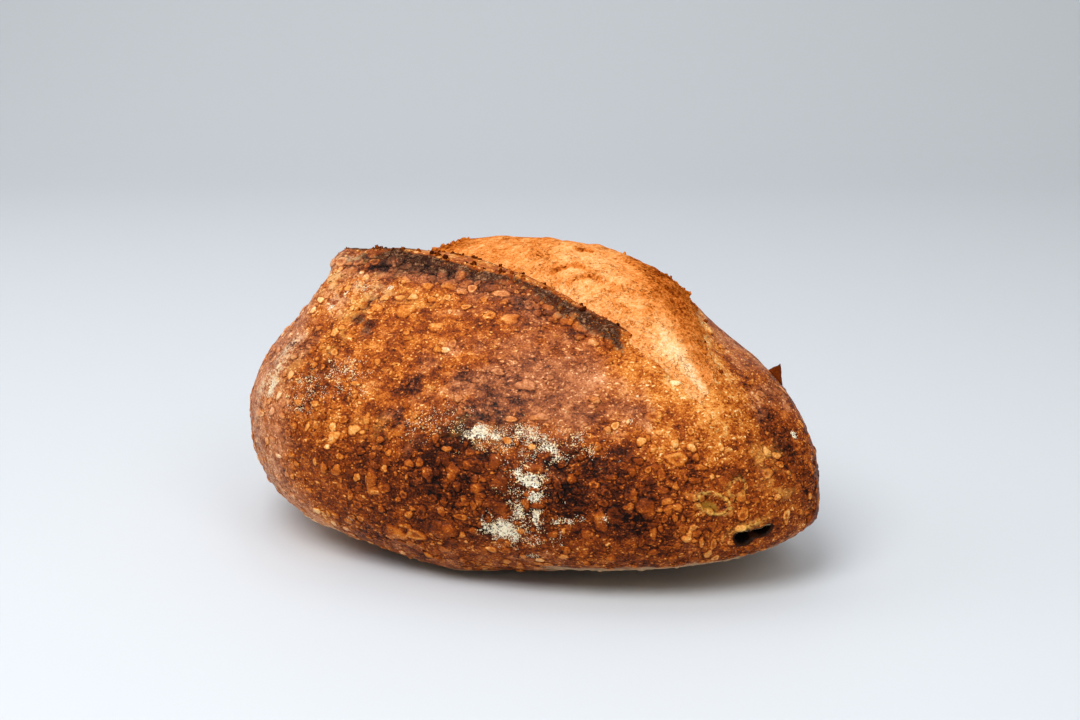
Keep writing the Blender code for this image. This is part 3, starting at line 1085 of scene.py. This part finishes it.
def dome(sides, rings):
    """A disc's points as radius, 1 where the dome ends, and angle, and its faces."""
    radius, angle = [0.0], [0.0]
    for number, ring in enumerate(rings):
        for side in range(sides):
            radius.append(ring)
            angle.append(2 * math.pi * (side + 0.5 * (number % 2)) / sides)
    faces = [(0, 1 + side, 1 + (side + 1) % sides) for side in range(sides)]
    for number in range(1, len(rings)):
        inner, outer = 1 + (number - 1) * sides, 1 + number * sides
        for side in range(sides):
            after = (side + 1) % sides
            faces.append((inner + side, outer + side, outer + after))
            faces.append((inner + side, outer + after, inner + after))
    return np.array(radius), np.array(angle), faces


def grid_steps(offset, down, around):
    """Rows and columns to step for a move along the surface."""
    a, b, c = (down * down).sum(-1), (down * around).sum(-1), (around * around).sum(-1)
    along_down, along_around = (offset * down).sum(-1), (offset * around).sum(-1)
    whole = a * c - b * b
    return (c * along_down - b * along_around) / whole, (a * along_around - b * along_down) / whole


class Blisters:
    """Blisters to lay on the loaf: their places, sizes, tones and whether they are ringed."""

    def __init__(self, rows, columns, half_length, half_height, tone, ringed):
        self.rows, self.columns = np.asarray(rows, float), np.asarray(columns, float)
        self.half_length = np.asarray(half_length, float)[:, None]
        self.half_height = np.asarray(half_height, float)[:, None]
        self.tone = np.asarray(tone, float)[:, None]
        self.ringed = np.asarray(ringed, float)[:, None]

    def frames(self, loaf):
        """At each blister: the grid's steps down and around, and level and upward directions."""
        rows = np.clip(np.round(self.rows).astype(int), 1, loaf.along.shape[0] - 2)
        columns = np.round(self.columns).astype(int) % loaf.along.shape[1]
        after = (columns + 1) % loaf.along.shape[1]
        points = loaf.points
        down = (points[rows + 1, columns] - points[rows - 1, columns]) / 2
        around = (points[rows, after] - points[rows, columns - 1]) / 2
        normal = loaf.normals[rows, columns]
        side = np.cross([0, 0, 1], normal)
        side = side / (np.linalg.norm(side, axis=-1, keepdims=True) + 1e-9)
        return down[:, None], around[:, None], side[:, None], np.cross(normal, side)[:, None]

    def lift(self, radius, angle, wave, height):
        """Heights of a flattened dome over the crust, sunk in the middle if it is ringed."""
        inside = np.maximum(1 - radius**2.2, 0)
        lift = height * inside**0.62
        lift = lift - self.ringed * height * 0.85 * np.exp(-((radius / 0.5) ** 2))
        lift = lift + 0.14 * height * np.sin(3 * angle + wave) * radius * inside
        return lift + 0.02 * MM - 0.08 * MM * ease(1.15, 1.3, radius)

    def shade(self, radius):
        """How much paler than the crust the dome is, less the painted shade in the groove round
        its edge.
        """
        top = (0.38 * self.tone - 0.03) * (1 - ease(0.70, 1.0, radius))
        sunk = self.ringed * (0.10 + 0.16 * self.tone) * (1 - ease(0.25, 0.6, radius))
        # Painted shade in the groove where the dome meets the crust
        crease = 0.09 * bump(radius, 1.05, 0.10) * (1 - ease(1.15, 1.3, radius))
        return top - sunk - crease

    def build(self, loaf, name, material):
        """One mesh of flattened domes that follow the loaf's surface."""
        radius, angle, faces = dome(*DOMES[name])
        count = len(self.rows)
        down, around, side, rise = self.frames(loaf)
        wave = RANDOM.uniform(0, 2 * math.pi, (3, count, 1))
        outline = 1 + 0.15 * np.sin(2 * angle + wave[0]) + 0.13 * np.sin(3 * angle + wave[1])
        outline = outline + 0.08 * np.sin(5 * angle + wave[2])
        across = self.half_length * radius * outline * np.cos(angle)
        up = self.half_height * radius * outline * np.sin(angle)
        offset = across[..., None] * side + up[..., None] * rise
        step_rows, step_columns = grid_steps(offset, down, around)
        rows = np.clip(self.rows[:, None] + step_rows, 0, loaf.along.shape[0] - 1.01)
        columns = self.columns[:, None] + step_columns

        mean = np.sqrt(self.half_length * self.half_height)
        height = mean * RANDOM.uniform(0.14, 0.42, (count, 1))
        lift = self.lift(radius, angle, wave[0], height)
        ground = loaf.sample(loaf.points, rows, columns)
        way = loaf.sample(loaf.normals, rows, columns)
        vertices = (ground + way * lift[..., None]).reshape(-1, 3)
        vertices[:, 2] = np.maximum(vertices[:, 2], 0.2 * MM)

        start = (np.arange(count) * len(radius))[:, None, None]
        all_faces = (np.array(faces)[None] + start).reshape(-1, 3)
        marks = {key: loaf.sample(loaf.marks[key], rows, columns) for key in loaf.marks}
        marks["blister"] = self.shade(radius)
        marks["skin"] = 0 * rows + 1 - ease(0.85, 1.05, radius)
        marks["crumb"] = 0 * rows
        new_piece(name, vertices, all_faces.tolist(), material, marks)


def blister_density(loaf):
    """How crowded blisters are: most in the low band, at the blunt end and under the ear."""
    x, z = loaf.side_view()
    gap = loaf.ridge_gap() / MM
    crust = loaf.is_in("near", "far") * (1 - loaf.marks["crumb"])
    low = ease(74, 52, z)
    left = 0.5 * ease(0, -60, x)
    right = 0.5 * ease(85, 105, x)
    clusters = ease(-0.15, 0.40, field(loaf.points, 11 * MM, 21, 3))
    crowd = (0.05 + 0.95 * np.maximum(np.maximum(low, left), right)) * (0.06 + 0.94 * clusters)
    under_ear = bump(gap, -10.0, 3.0) * lip_opening(loaf.along) * loaf.is_in("near")
    crowd = np.maximum(crowd, 2.0 * under_ear)
    crowd = crowd * ease(2, 8, z) * (1 - 0.8 * ease(0.3, 0.6, loaf.marks["flour"]))
    crowd = crowd * (1 - ease(0.0, 0.2, loaf.marks["hole_shade"]))
    return crust * crowd


def build_blisters(loaf, material):
    density = blister_density(loaf)
    listed = np.array(BIG_BLISTERS)
    spots = np.array([loaf.near_spot(x, z) for x, z, *_ in BIG_BLISTERS])
    sizes = listed[:, 2:4] * MM
    big = Blisters(*spots.T, *sizes.T, listed[:, 4], listed[:, 5])
    big.build(loaf, "big_blisters", material)
    for blister in BIG_BLISTERS:
        density = density * ease(0.9, 1.3, loaf.oval(*blister[:4]))

    rows, columns = scatter_places(loaf, density, BLISTER_TRIES)
    radii = MM * (0.45 + 1.75 * RANDOM.random(BLISTER_TRIES) ** 2.6)
    near_ear = loaf.sample(bump(loaf.ridge_gap(), -10 * MM, 3 * MM), rows, columns)
    radii = radii * (1 + 0.5 * near_ear)
    kept = spread_out(loaf, rows, columns, radii, BLISTER_SPACING)
    rows, columns, radii = rows[kept], columns[kept], radii[kept]
    stretch = RANDOM.uniform(0.75, 1.4, len(kept))
    tone = np.clip(RANDOM.normal(0.40, 0.26, len(kept)), 0, 1)
    ringed = (RANDOM.random(len(kept)) < RINGED_CHANCE) & (radii > 1.1 * MM)
    order = np.arange(len(kept))
    wide = order < WIDE_BLISTERS
    small = (order >= WIDE_BLISTERS) & (order < WIDE_BLISTERS + SMALL_BLISTERS)
    values = (rows, columns, radii * stretch, radii / stretch, tone, ringed)
    for name, chosen in (("blisters", wide), ("small_blisters", small)):
        Blisters(*(value[chosen] for value in values)).build(loaf, name, material)


def lumps(centres, sizes, template_vertices, template_faces, seed):
    """Rough lumps as one mesh: each a template turned at random and knocked out of round."""
    random = np.random.default_rng(seed)
    count, corners = len(centres), len(template_vertices)
    axes = random.normal(size=(count, 2, 3))
    first = axes[:, 0] / np.linalg.norm(axes[:, 0], axis=-1, keepdims=True)
    second = np.cross(first, axes[:, 1])
    second = second / np.linalg.norm(second, axis=-1, keepdims=True)
    turn = np.stack([first, second, np.cross(first, second)], 1)
    stretch = random.uniform(0.45, 1.5, (count, 1, 3))
    knock = random.uniform(0.65, 1.35, (count, corners, 1))
    shape = np.einsum("kvi,kij->kvj", template_vertices[None] * stretch * knock, turn)
    vertices = centres[:, None] + shape * np.asarray(sizes)[:, None, None]
    start = (np.arange(count) * corners)[:, None, None]
    faces = (np.array(template_faces)[None] + start).reshape(-1, 3)
    return vertices.reshape(-1, 3), faces.tolist(), corners


OCTAHEDRON = np.array([(1, 0, 0), (-1, 0, 0), (0, 1, 0), (0, -1, 0), (0, 0, 1), (0, 0, -1)], float)
OCTAHEDRON_RIM = ((0, 2), (2, 1), (1, 3), (3, 0))
OCTAHEDRON_FACES = [(a, b, 4) for a, b in OCTAHEDRON_RIM]
OCTAHEDRON_FACES += [(b, a, 5) for a, b in OCTAHEDRON_RIM]


def build_flour(loaf, material):
    """Grains of flour standing on the floury patches."""
    density = np.clip(loaf.marks["flour"] - 0.15, 0, 1) ** 1.5
    rows, columns = scatter_places(loaf, density, FLOUR_GRAINS)
    centres = loaf.sample(loaf.points, rows, columns)
    centres = centres + loaf.sample(loaf.normals, rows, columns) * 0.10 * MM
    sizes = MM * RANDOM.uniform(0.08, 0.24, FLOUR_GRAINS)
    vertices, faces, _ = lumps(centres, sizes, OCTAHEDRON, OCTAHEDRON_FACES, 31)
    new_piece("flour_dust", vertices, faces, material, {})


def build_crumbs(loaf, material):
    """Crumbs of torn crust along the ear and the far rim of the belly."""
    gap = loaf.ridge_gap() / MM
    opening = lip_opening(loaf.along)
    clusters = ease(-0.1, 0.6, field(loaf.points, 5 * MM, 22, 3))
    ridge = 0.9 * bump(gap, -0.5, 1.4) * opening
    strip = 2.0 * loaf.is_in("undercut") * opening * ease(-0.45, -0.35, loaf.along)
    rim = loaf.is_in("belly") * bump(loaf.share, 0.88, 0.10) * belly_opening(loaf.along)
    start = bump(loaf.along, -0.48, 0.06) * loaf.is_in("belly", "undercut")
    density = (ridge + 0.9 * strip + 0.45 * rim + 0.3 * start) * (0.02 + clusters**1.5)
    rows, columns = scatter_places(loaf, density, CRUMBS)
    centres = loaf.sample(loaf.points, rows, columns)
    sizes = MM * (0.18 + 0.95 * RANDOM.random(CRUMBS) ** 2.8)
    lift = loaf.sample(loaf.normals, rows, columns) * (0.15 * sizes)[:, None]
    vertices, faces, corners = lumps(centres + lift, sizes, *ball_template(), 32)
    dark = 1 - loaf.sample(loaf.marks["crumb"], rows, columns)
    tone = np.clip(0.62 * dark + RANDOM.uniform(-0.25, 0.3, CRUMBS), 0, 1)
    new_piece("crust_crumbs", vertices, faces, material, {"tone": np.repeat(tone, corners)})


def ball_template():
    """The corners and faces of a small round ball."""
    ball = bmesh.new()
    bmesh.ops.create_icosphere(ball, subdivisions=1, radius=1)
    vertices = np.array([v.co for v in ball.verts])
    faces = [[v.index for v in face.verts] for face in ball.faces]
    ball.free()
    return vertices, faces


def build_flake(material):
    """A curled three-cornered flake of crust that has come away at the pointed end."""
    steps = FLAKE_STEPS
    high, low, corner = (Vector(place) * MM for place in (FLAKE_HIGH, FLAKE_LOW, FLAKE_CORNER))
    count = steps + 1
    vertices, faces = [], []
    for side in (-0.5, 0.5):
        for i in range(count):
            for j in range(count):
                across, up = i / steps, 0.93 * j / steps
                place = (high.lerp(low, across)).lerp(corner, up)
                ragged = noise.noise_vector(Vector((2.3 * across, 3.1 * up, 0.5)))
                place = place + ragged * FLAKE_RAGGEDNESS * up
                curl = FLAKE_CURL * up**2 + side * FLAKE_THICKNESS * (1 - 0.6 * up)
                vertices.append(place + camera_side() * curl)
    for side in (0, 1):
        for i in range(steps):
            for j in range(steps):
                first = side * count * count + i * count + j
                face = (first, first + count, first + count + 1, first + 1)
                faces.append(face[::-1] if side else face)
    rim = list(range(count)) + [i * count + steps for i in range(1, count)]
    rim += [steps * count + j for j in range(steps - 1, -1, -1)]
    rim += [i * count for i in range(steps - 1, 0, -1)]
    for a, b in zip(rim, rim[1:] + rim[:1]):
        faces.append((a, b, b + count * count, a + count * count))
    tone = np.full(len(vertices), 0.55)
    new_piece("crust_flake", vertices, faces, material, {"tone": tone})


class Value:
    """A node's output, for plain sums and products with other outputs and numbers."""

    def __init__(self, paint, socket):
        self.paint, self.socket = paint, socket

    def __add__(self, other):
        return self.paint.math("ADD", self, other)

    def __sub__(self, other):
        return self.paint.math("SUBTRACT", self, other)

    def __rsub__(self, other):
        return self.paint.math("SUBTRACT", other, self)

    def __mul__(self, other):
        return self.paint.math("MULTIPLY", self, other)

    def swing(self, amount):
        """A noise value, about 0.5, as a change of up to half that amount either way."""
        return (self - 0.5) * amount

    def ramp(self, start, end, low=0.0, high=1.0):
        """Goes smoothly from low to high as the value goes from start to end."""
        inputs = {"Value": self, "From Min": start, "From Max": end, "To Min": low, "To Max": high}
        settings = {"interpolation_type": "SMOOTHSTEP"}
        return self.paint.result("ShaderNodeMapRange", "Result", inputs, **settings)


class Paint:
    """One material and the nodes that colour it."""

    def __init__(self, name):
        self.material = bpy.data.materials.new(name)
        self.material.use_nodes = True
        self.tree = self.material.node_tree
        self.shader = self.tree.nodes["Principled BSDF"]
        self.place = self.result("ShaderNodeTexCoord", "Object")

    def feed(self, socket, value):
        """Links a node's output to a socket, or sets the socket to a plain value."""
        source = getattr(value, "socket", value)
        if isinstance(source, bpy.types.NodeSocket):
            self.tree.links.new(source, socket)
        else:
            socket.default_value = source

    def node(self, kind, inputs=None, **settings):
        node = self.tree.nodes.new(kind)
        for name, value in settings.items():
            setattr(node, name, value)
        for name, value in (inputs or {}).items():
            self.feed(node.inputs[name], value)
        return node

    def result(self, kind, output, inputs=None, **settings):
        return Value(self, self.node(kind, inputs, **settings).outputs[output])

    def mark(self, name):
        return self.result("ShaderNodeAttribute", "Fac", attribute_name=name)

    def math(self, operation, first, second=0.0):
        return self.result("ShaderNodeMath", 0, {0: first, 1: second}, operation=operation)

    def vector(self, operation, *inputs):
        return self.result("ShaderNodeVectorMath", 0, dict(enumerate(inputs)), operation=operation)

    def mix(self, share, first, second):
        return self.result("ShaderNodeMix", 2, {0: share, 6: first, 7: second}, data_type="RGBA")

    def noise(self, size, detail=2.0, place=None, distortion=0.0):
        inputs = {
            "Vector": place or self.place,
            "Scale": 1 / size,
            "Detail": detail,
            "Distortion": distortion,
        }
        return self.result("ShaderNodeTexNoise", "Fac", inputs)

    def wobbled(self, size, amount, place=None):
        """The place shifted by noise, so that cells lose their round shape."""
        place = place or self.place
        shift = self.result("ShaderNodeTexNoise", "Color", {"Vector": place, "Scale": 1 / size})
        shift = self.vector("SUBTRACT", shift, (0.5, 0.5, 0.5))
        return self.vector("MULTIPLY_ADD", shift, (2 * amount, 2 * amount, 2 * amount), place)

    def squeezed(self, x, y, z):
        return self.vector("MULTIPLY", self.place, (x, y, z))

    def spots(self, size, small, large, coverage, place):
        """Round spots in cells of that size. Gives the depth into a spot, 0 at its rim and 1 at
        its middle, and a random tone for each."""
        cell = self.node("ShaderNodeTexVoronoi", {"Vector": place, "Scale": 1 / size})
        chance = self.node("ShaderNodeSeparateColor", {0: cell.outputs["Color"]}).outputs
        radius = Value(self, chance[0]) * (large - small) + small
        depth = 1.0 - self.math("DIVIDE", cell.outputs["Distance"], radius)
        present = self.math("LESS_THAN", chance[2], coverage)
        return self.math("MAXIMUM", depth, 0.0) * present, Value(self, chance[1])

    def levels(self, value, stops):
        """A colour ramp through the stops."""
        node = self.node("ShaderNodeValToRGB", {0: value})
        elements = node.color_ramp.elements
        elements[0].position, elements[0].color = stops[0]
        elements[1].position, elements[1].color = stops[-1]
        for position, colour in stops[1:-1]:
            elements.new(position).color = colour
        return Value(self, node.outputs["Color"])

    def finish(self, colour, roughness, height, depth, gloss=0.0):
        """Colour, roughness and fine relief, `depth` metres for a height of 1."""
        relief = self.result("ShaderNodeBump", "Normal", {"Height": height, "Distance": depth})
        self.feed(self.shader.inputs["Base Color"], colour)
        self.feed(self.shader.inputs["Roughness"], roughness)
        self.feed(self.shader.inputs["Normal"], relief)
        self.feed(self.shader.inputs["Specular IOR Level"], gloss)
        return self.material


def crust_relief(paint):
    """Fine blisters and grain. Gives how much paler than its surroundings each place is, its
    height, and the noises that it is made of."""
    flat = paint.squeezed(0.75, 0.75, 1.25)
    place = paint.wobbled(0.8 * MM, 0.30 * MM, paint.wobbled(2.4 * MM, 1.1 * MM, flat))
    mottle = paint.noise(4.2 * MM, 5, flat, 0.4)
    fine = paint.noise(1.25 * MM, 2, flat)
    grain = paint.noise(0.7 * MM, 1)
    level = mottle.swing(0.62) + fine.swing(0.36) + grain.swing(0.42)
    height = grain * 0.3 + fine * 0.8
    crowd = paint.noise(13 * MM, 2).ramp(0.40, 0.62)
    for size, small, large, coverage, paler, relief in (
        (4.4 * MM, 0.12, 0.42, 0.50, 0.15, 0.9),
        (2.5 * MM, 0.16, 0.46, 0.60, 0.18, 0.6),
        (1.3 * MM, 0.20, 0.46, 0.34, 0.20, 0.3),
    ):
        depth, tone = paint.spots(size, small, large, crowd * coverage, place)
        disc = depth.ramp(0.0, 0.14) * depth.ramp(0.2, 0.9, 1.0, 0.6)
        level = level + disc * (tone * paler + 0.01)
        height = height + depth.ramp(0.0, 0.6) * relief
    flakes = paint.noise(2.6 * MM, 4, flat, 0.9).ramp(0.555, 0.60)
    pits = paint.noise(1.3 * MM, 1, paint.squeezed(0.9, 0.9, 1.7)).ramp(0.60, 0.70)
    # Pale specks: partly tiny pale bubbles of the crust, partly painted glints of the light
    specks_and_glints = paint.noise(0.9 * MM, 0, flat).ramp(0.68, 0.75)
    level = level + flakes * 0.075 - pits * 0.13 + specks_and_glints * 0.26 - 0.05
    return level, height, grain, fine, mottle


def floury(paint, colour, flour):
    """Lays granular flour over a colour. Gives the colour and how much flour shows."""
    clump = paint.noise(2.4 * MM, 3)
    dust = paint.noise(0.75 * MM, 1)
    specks = paint.noise(0.40 * MM, 0)
    level = dust * 0.42 + clump * 0.33 + specks * 0.25 + flour * 0.20
    shows = level.ramp(0.642, 0.668) * flour.ramp(0.05, 0.2)
    white = paint.mix(flour.ramp(0.40, 0.85), PALE_FLOUR, FLOUR)
    return paint.mix(shows, colour, white), shows


def crust_material():
    """The whole skin of the loaf: crust, blisters, ear, belly and flour."""
    paint = Paint("crust")
    relief, height, grain, fine, mottle = crust_relief(paint)
    dark = paint.mark("dark") * ((mottle.swing(1.6) + fine.swing(2.2)) * -0.22 + 0.20)
    relief = relief * (paint.mark("skin") * -0.45 + 1.0)
    level = paint.mark("level") + relief + paint.mark("blister")
    level = level - paint.math("MAXIMUM", dark, 0.0) + paint.mark("strip") * 0.10
    # The duller, purple crust mixes in here, and with it the painted sheen of the light
    dull_and_sheen = (paint.mark("dull_and_sheen") + mottle.swing(0.9)).ramp(0.1, 0.9)
    colour = paint.mix(dull_and_sheen, paint.levels(level, CRUST_LEVELS), paint.levels(level, DULL_AND_SHEEN_LEVELS))

    ragged = mottle.swing(1.3) + fine.swing(1.5) + grain.swing(1.2)
    soot = (paint.mark("burnt") + ragged).ramp(0.35, 1.05)
    charred = mottle.swing(1.3) + grain.swing(1.3) + fine.swing(1.5)
    charred = charred + paint.mark("blister") * 0.6 + 0.30
    colour = paint.mix(soot, colour, paint.levels(charred, CHAR_LEVELS))

    film = mottle + fine.swing(0.9) + grain.swing(0.5)
    # Painted shade of the torn holes, dark brown round them and black in their depths
    hole_shade = paint.mark("hole_shade") + grain.swing(0.2)
    for share, tone in (
        (paint.mark("golden") * mottle.ramp(0.42, 0.58) * 0.55, GOLDEN),
        (paint.mark("olive") * mottle.ramp(0.30, 0.50) * 0.75, OLIVE),
        (paint.mark("ring") * fine.ramp(0.35, 0.55) * 0.8, RING),
        (paint.mark("haze") * film.ramp(0.38, 0.70, 0.05, 0.85), HAZE),
        (hole_shade.ramp(0.20, 0.36), TEAR_SHADE),
        (hole_shade.ramp(0.55, 0.68), HOLE_SHADE),
    ):
        colour = paint.mix(share, colour, tone)

    belly, belly_height = belly_colour(paint, grain, fine)
    crumb = (paint.mark("crumb") + mottle.swing(1.2) + fine.swing(0.6)).ramp(0.30, 0.65)
    colour = paint.mix(crumb, colour, belly)
    height = paint.result("ShaderNodeMix", 0, {0: crumb, 2: height, 3: belly_height})
    colour, flour = floury(paint, colour, paint.mark("flour"))
    colour = paint.mix(paint.mark("underside") * 0.8, colour, RIM_FLOUR)
    matte = crumb + flour + soot
    roughness = matte.ramp(0.0, 1.0, 0.42, 0.80)
    gloss = matte.ramp(0.0, 1.0, 0.06, 0.0)
    return paint.finish(colour, roughness, height + flour * 0.5, 0.6 * MM, gloss)


def belly_colour(paint, grain, fine):
    """The torn crumb that rose through the score. Gives its colour and its height."""
    fibre = paint.noise(3.2 * MM, 5, paint.squeezed(1.2, 0.8, 1.0), 1.2)
    cloud = paint.noise(8 * MM, 3)
    crossing = paint.noise(5.5 * MM, 3, paint.squeezed(1.0, 1.5, 1.2), 1.5) - 0.5
    wrinkle = paint.math("ABSOLUTE", crossing).ramp(0.0, 0.022, 1.0, 0.0) * cloud.ramp(0.60, 0.40)
    depth, _ = paint.spots(1.9 * MM, 0.10, 0.36, 0.40, paint.wobbled(1.2 * MM, 0.6 * MM))
    pores = depth.ramp(0.0, 0.5)
    mark = paint.mark("belly_level")
    crumbs = mark.ramp(0.62, 0.38) * paint.noise(1.8 * MM, 4).ramp(0.50, 0.60)
    level = mark + cloud.swing(0.26) + fibre.swing(0.38) + fine.swing(0.40) + grain.swing(0.40)
    level = level - pores * 0.12 - wrinkle * 0.11 - crumbs * 0.16 - 0.02
    height = fibre * 1.8 + grain * 0.4 + fine * 0.7 - pores * 0.8 - wrinkle * 0.8
    return paint.levels(level, BELLY_LEVELS), height


def flour_material():
    paint = Paint("flour")
    grain = paint.noise(1.5 * MM)
    return paint.finish(paint.mix(grain, GRAIN, FLOUR), 0.9, grain, 0.1 * MM)


def crumb_material():
    paint = Paint("crumbs")
    grain = paint.noise(0.5 * MM)
    tone = paint.mark("tone") + grain.swing(0.6)
    colour = paint.levels(tone * -0.5 + 0.56, CRUST_LEVELS)
    return paint.finish(colour, 0.6, grain, 0.2 * MM)


def plain_material(name, colour):
    paint = Paint(name)
    paint.shader.inputs["Base Color"].default_value = colour
    paint.shader.inputs["Roughness"].default_value = 0.6
    return paint.material


def build_stage():
    """A plain pale floor that curves up into a backdrop behind the loaf."""
    profile = [(FLOOR_FRONT, 0.0), (FLOOR_BACK, 0.0)]
    for step in range(1, FLOOR_BEND_STEPS + 1):
        angle = math.pi / 2 * step / FLOOR_BEND_STEPS
        depth = FLOOR_BACK + FLOOR_BEND * math.sin(angle)
        profile.append((depth, FLOOR_BEND * (1 - math.cos(angle))))
    profile.append((FLOOR_BACK + FLOOR_BEND, BACKDROP_TOP))
    vertices, faces = [], []
    for depth, height in profile:
        for side in (-FLOOR_HALF_WIDTH, FLOOR_HALF_WIDTH):
            vertices.append((side, depth, height - FLOOR_DROP))
    for i in range(len(profile) - 1):
        faces.append((2 * i, 2 * i + 1, 2 * i + 3, 2 * i + 2))
    floor = smooth_mesh("floor", vertices, faces, plain_material("floor", FLOOR_COLOUR))
    floor.rotation_euler[2] = math.radians(CAMERA_AZIMUTH)


def aim(thing, target):
    way = target - thing.location
    thing.rotation_euler = way.to_track_quat("-Z", "Y").to_euler()


def area_light(name, place, size, power):
    light = bpy.data.lights.new(name, "AREA")
    light.shape = "DISK"
    light.size = size
    light.energy = power
    lamp = new_object(name, light)
    lamp.location = place
    aim(lamp, LIGHT_AIM)


def build_light():
    """A pale room lit by a large soft light high in front, and weaker ones around the loaf."""
    world = bpy.data.worlds.new("room")
    world.use_nodes = True
    background = world.node_tree.nodes["Background"]
    background.inputs["Color"].default_value = (1, 1, 1, 1)
    background.inputs["Strength"].default_value = ROOM_LIGHT
    bpy.context.scene.world = world
    for light in LIGHTS:
        area_light(*light)
    bpy.context.scene.view_settings.view_transform = "Standard"


def build_camera():
    lens = bpy.data.cameras.new("camera")
    lens.lens = LENS
    lens.sensor_width = SENSOR_WIDTH
    camera = new_object("camera", lens)
    camera.location = CAMERA_AIM + camera_side() * CAMERA_DISTANCE
    aim(camera, CAMERA_AIM)
    bpy.context.scene.camera = camera


def build_loaf():
    loaf = Loaf()
    lift_rim(loaf)
    soften_far_rim(loaf)
    roughen(loaf)
    sculpt_ear(loaf)
    sculpt_belly(loaf)
    sculpt_marks(loaf)
    mark_loaf(loaf)
    material = crust_material()
    build_crust(loaf, material)
    build_blisters(loaf, material)
    build_flour(loaf, flour_material())
    build_crumbs(loaf, crumb_material())
    build_flake(crumb_material())


def main():
    build_loaf()
    build_stage()
    build_light()
    build_camera()


main()
